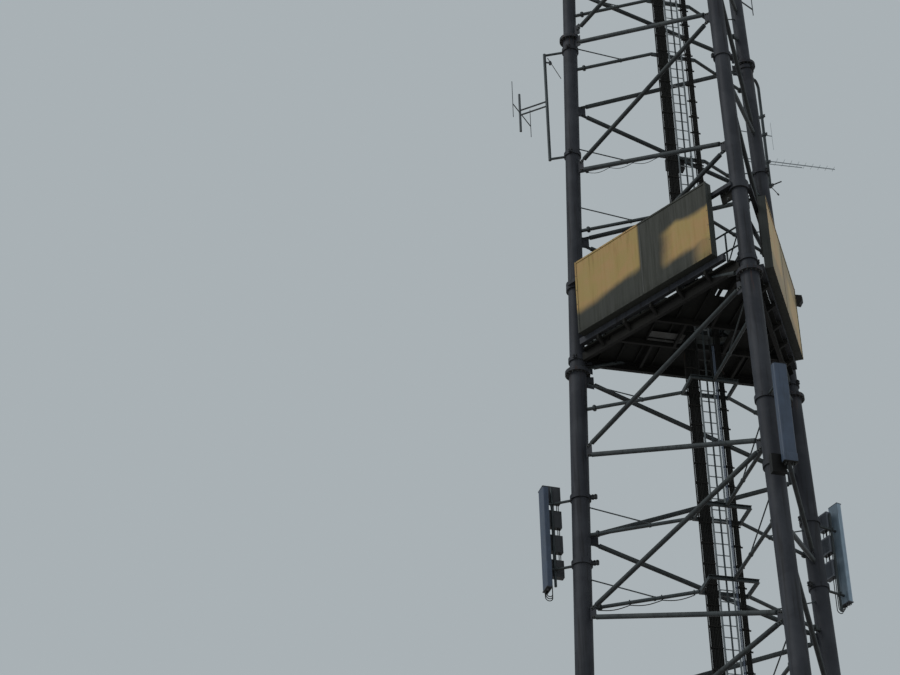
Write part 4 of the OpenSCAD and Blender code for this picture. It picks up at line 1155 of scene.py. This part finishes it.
def boom_tails():
    """Tails of the rear booms behind their pipe, with three elements on the long one."""
    start, half, thin, pitch = 0.04, 0.155, 0.004, 0.19
    tails = []
    for up, angle, end, radius in ((LONG_BOOM_UP, LONG_BOOM_ANGLE, 0.69, BOOM_R),
                                   (LONG_BOOM_UP - BOOM_BRACE, LONG_BOOM_ANGLE, 0.57, 0.8 * BOOM_R),
                                   (SHORT_BOOM_UP, SHORT_BOOM_ANGLE, 0.66, BOOM_R)):
        root, along = on_bracket(2, up), spoke(angle)
        tails.append(tube_between(root - start * along, root - end * along, radius))
    reach = half * spoke(LONG_BOOM_ANGLE - 90)
    for i in range(1, 4):
        middle = on_bracket(2, LONG_BOOM_UP) - i * pitch * spoke(LONG_BOOM_ANGLE)
        tails.append(tube_between(middle - reach, middle + reach, thin, 8))
    done(joined(tails), "boom_tails", "aluminium")


def bracket_rods():
    """A stub and a rod with a knob at the rear bracket's foot, and a rod with a clamp on the left one."""
    foot, pipe = on_bracket(2, 0.0), on_bracket(0, 3.13)
    rods = ((foot, (0, 0, 0), (0.30, 0.07, 0), 0.017),
            (foot, (0, 0, 0), (-0.09, 0.42, 0), 0.010),
            (foot, (-0.081, 0.378, 0), (-0.094, 0.438, 0), 0.020),
            (pipe, (0.16, -0.06, 0), (-0.16, 0.74, 0), 0.009),
            (pipe, (0, 0, 0), (0.09, 0.15, 0), 0.022),
            (pipe, (0.07, 0.12, -0.045), (0.07, 0.12, 0.045), 0.034))
    rods = [tube_between(root + Vector(a), root + Vector(b), radius) for root, a, b, radius in rods]
    done(joined(rods), "bracket_rods", "antenna_metal")


def clipped_cables():
    """Slack cables clipped below two of the left support pipes, and their clips."""
    spans, steps, clear = 3, 8, 0.052
    cables = []
    clips = []
    for z, radius, sag in ((SUPPORTS[2], 0.011, 0.055), (SUPPORTS[7], 0.007, 0.085)):
        a, b = leg_at(0, z), support_end(0, z)
        along = (b - a).normalized()
        start, end = a + 0.32 * along, b - 0.10 * along
        points = []
        for i in range(spans * steps + 1):
            drop = radius + clear + sag * abs(sin(pi * i / steps))
            points.append(start.lerp(end, i / (spans * steps)) - Vector((0, 0, drop)))
        all_off()
        bpy.ops.mesh.primitive_circle_add(vertices=8, radius=radius, fill_type="NGON")
        cable = moved(bpy.context.object, standing(points[0], along))
        choose(cable, lambda face: True)
        for p, q in zip(points, points[1:]):
            extrude(q - p)
        cables.append(cable)
        lift = Vector((0, 0, 0.001))
        clips += [standing(start.lerp(end, i / spans) + lift, along) for i in range(spans + 1)]
    done(joined(cables), "clipped_cables", "cable_black")
    clip = hoop(0.056, 0.006, 24, 6)
    choose(clip, lambda face: True)
    resize(1, 1, 1.8)
    done(placed(clip, clips), "cable_clips", "galvanised")


for make in (anchor_nuts, joint_bolts, ring_welds, clamp_lips, bracing_bolts, tube_ends, collar_bolts,
             rod_straps, ladder_blocks, ladder_clasps, cable_straps, groove_cables, floor_ribs,
             floor_sheets, post_shoes, seam_strips, sign_screws, sign_stays, rail_gussets, long_panel_cap,
             panel_ends, panel_plugs, pole_grips, radio_fins, upper_radio, radio_cables, boom_tails,
             bracket_rods, clipped_cables):
    make()


# Studio

def add_floor():
    """A wide grey floor that can't be seen from below."""
    all_off()
    bpy.ops.mesh.primitive_plane_add(size=400)
    floor = bpy.context.object
    floor.name = "studio_floor"
    material, w, shader = new_material("studio_floor")
    shader["Base Color"].default_value = rgb((0.55, 0.55, 0.54))
    shader["Roughness"].default_value = 0.9
    below = w.add("NewGeometry").outputs["Backfacing"]
    seen = material.node_tree.nodes["Principled BSDF"].outputs[0]
    mix = w.add("MixShader", {"Fac": below, 1: seen, 2: w.add("BsdfTransparent").outputs[0]})
    w.put(material.node_tree.nodes["Material Output"].inputs["Surface"], mix.outputs[0])
    floor.data.materials.append(material)


def add_world():
    """Even grey light on the mast, and the pale sky colour behind it."""
    light, sky = (0.72, 0.73, 0.75), (0.397, 0.440, 0.463)
    world = bpy.data.worlds.new("studio")
    world.use_nodes = True
    bpy.context.scene.world = world
    w = Wiring(world.node_tree)
    rays = w.add("LightPath").outputs
    seen = w.larger(rays["Is Camera Ray"], rays["Is Glossy Ray"])
    seen = w.larger(seen, rays["Is Transmission Ray"])
    w.put(world.node_tree.nodes["Background"].inputs["Color"], w.blend(seen, rgb(light), rgb(sky)))


def add_sun():
    sun = bpy.data.objects.new("key_sun", bpy.data.lights.new("key_sun", "SUN"))
    sun.data.energy = 0.9
    sun.data.angle = radians(30)
    sun.rotation_euler = (radians(50), 0, radians(-20))
    link(sun)


def add_camera():
    """The photo's camera, solved from points on the three legs."""
    place = (30.188, -32.308, -16.075)
    right = Vector((0.6821, 0.7311, -0.0172))
    up = Vector((0.4271, -0.3792, 0.8209))
    camera = bpy.data.objects.new("camera", bpy.data.cameras.new("camera"))
    camera.data.lens = 93.15
    camera.data.sensor_width = 36
    camera.data.clip_end = 500
    turned = Matrix((right, up, right.cross(up))).transposed().to_4x4()
    camera.matrix_world = shift(*place) @ turned
    link(camera)
    bpy.context.scene.camera = camera


add_floor()
add_world()
add_sun()
add_camera()
bpy.context.scene.view_settings.view_transform = "Standard"
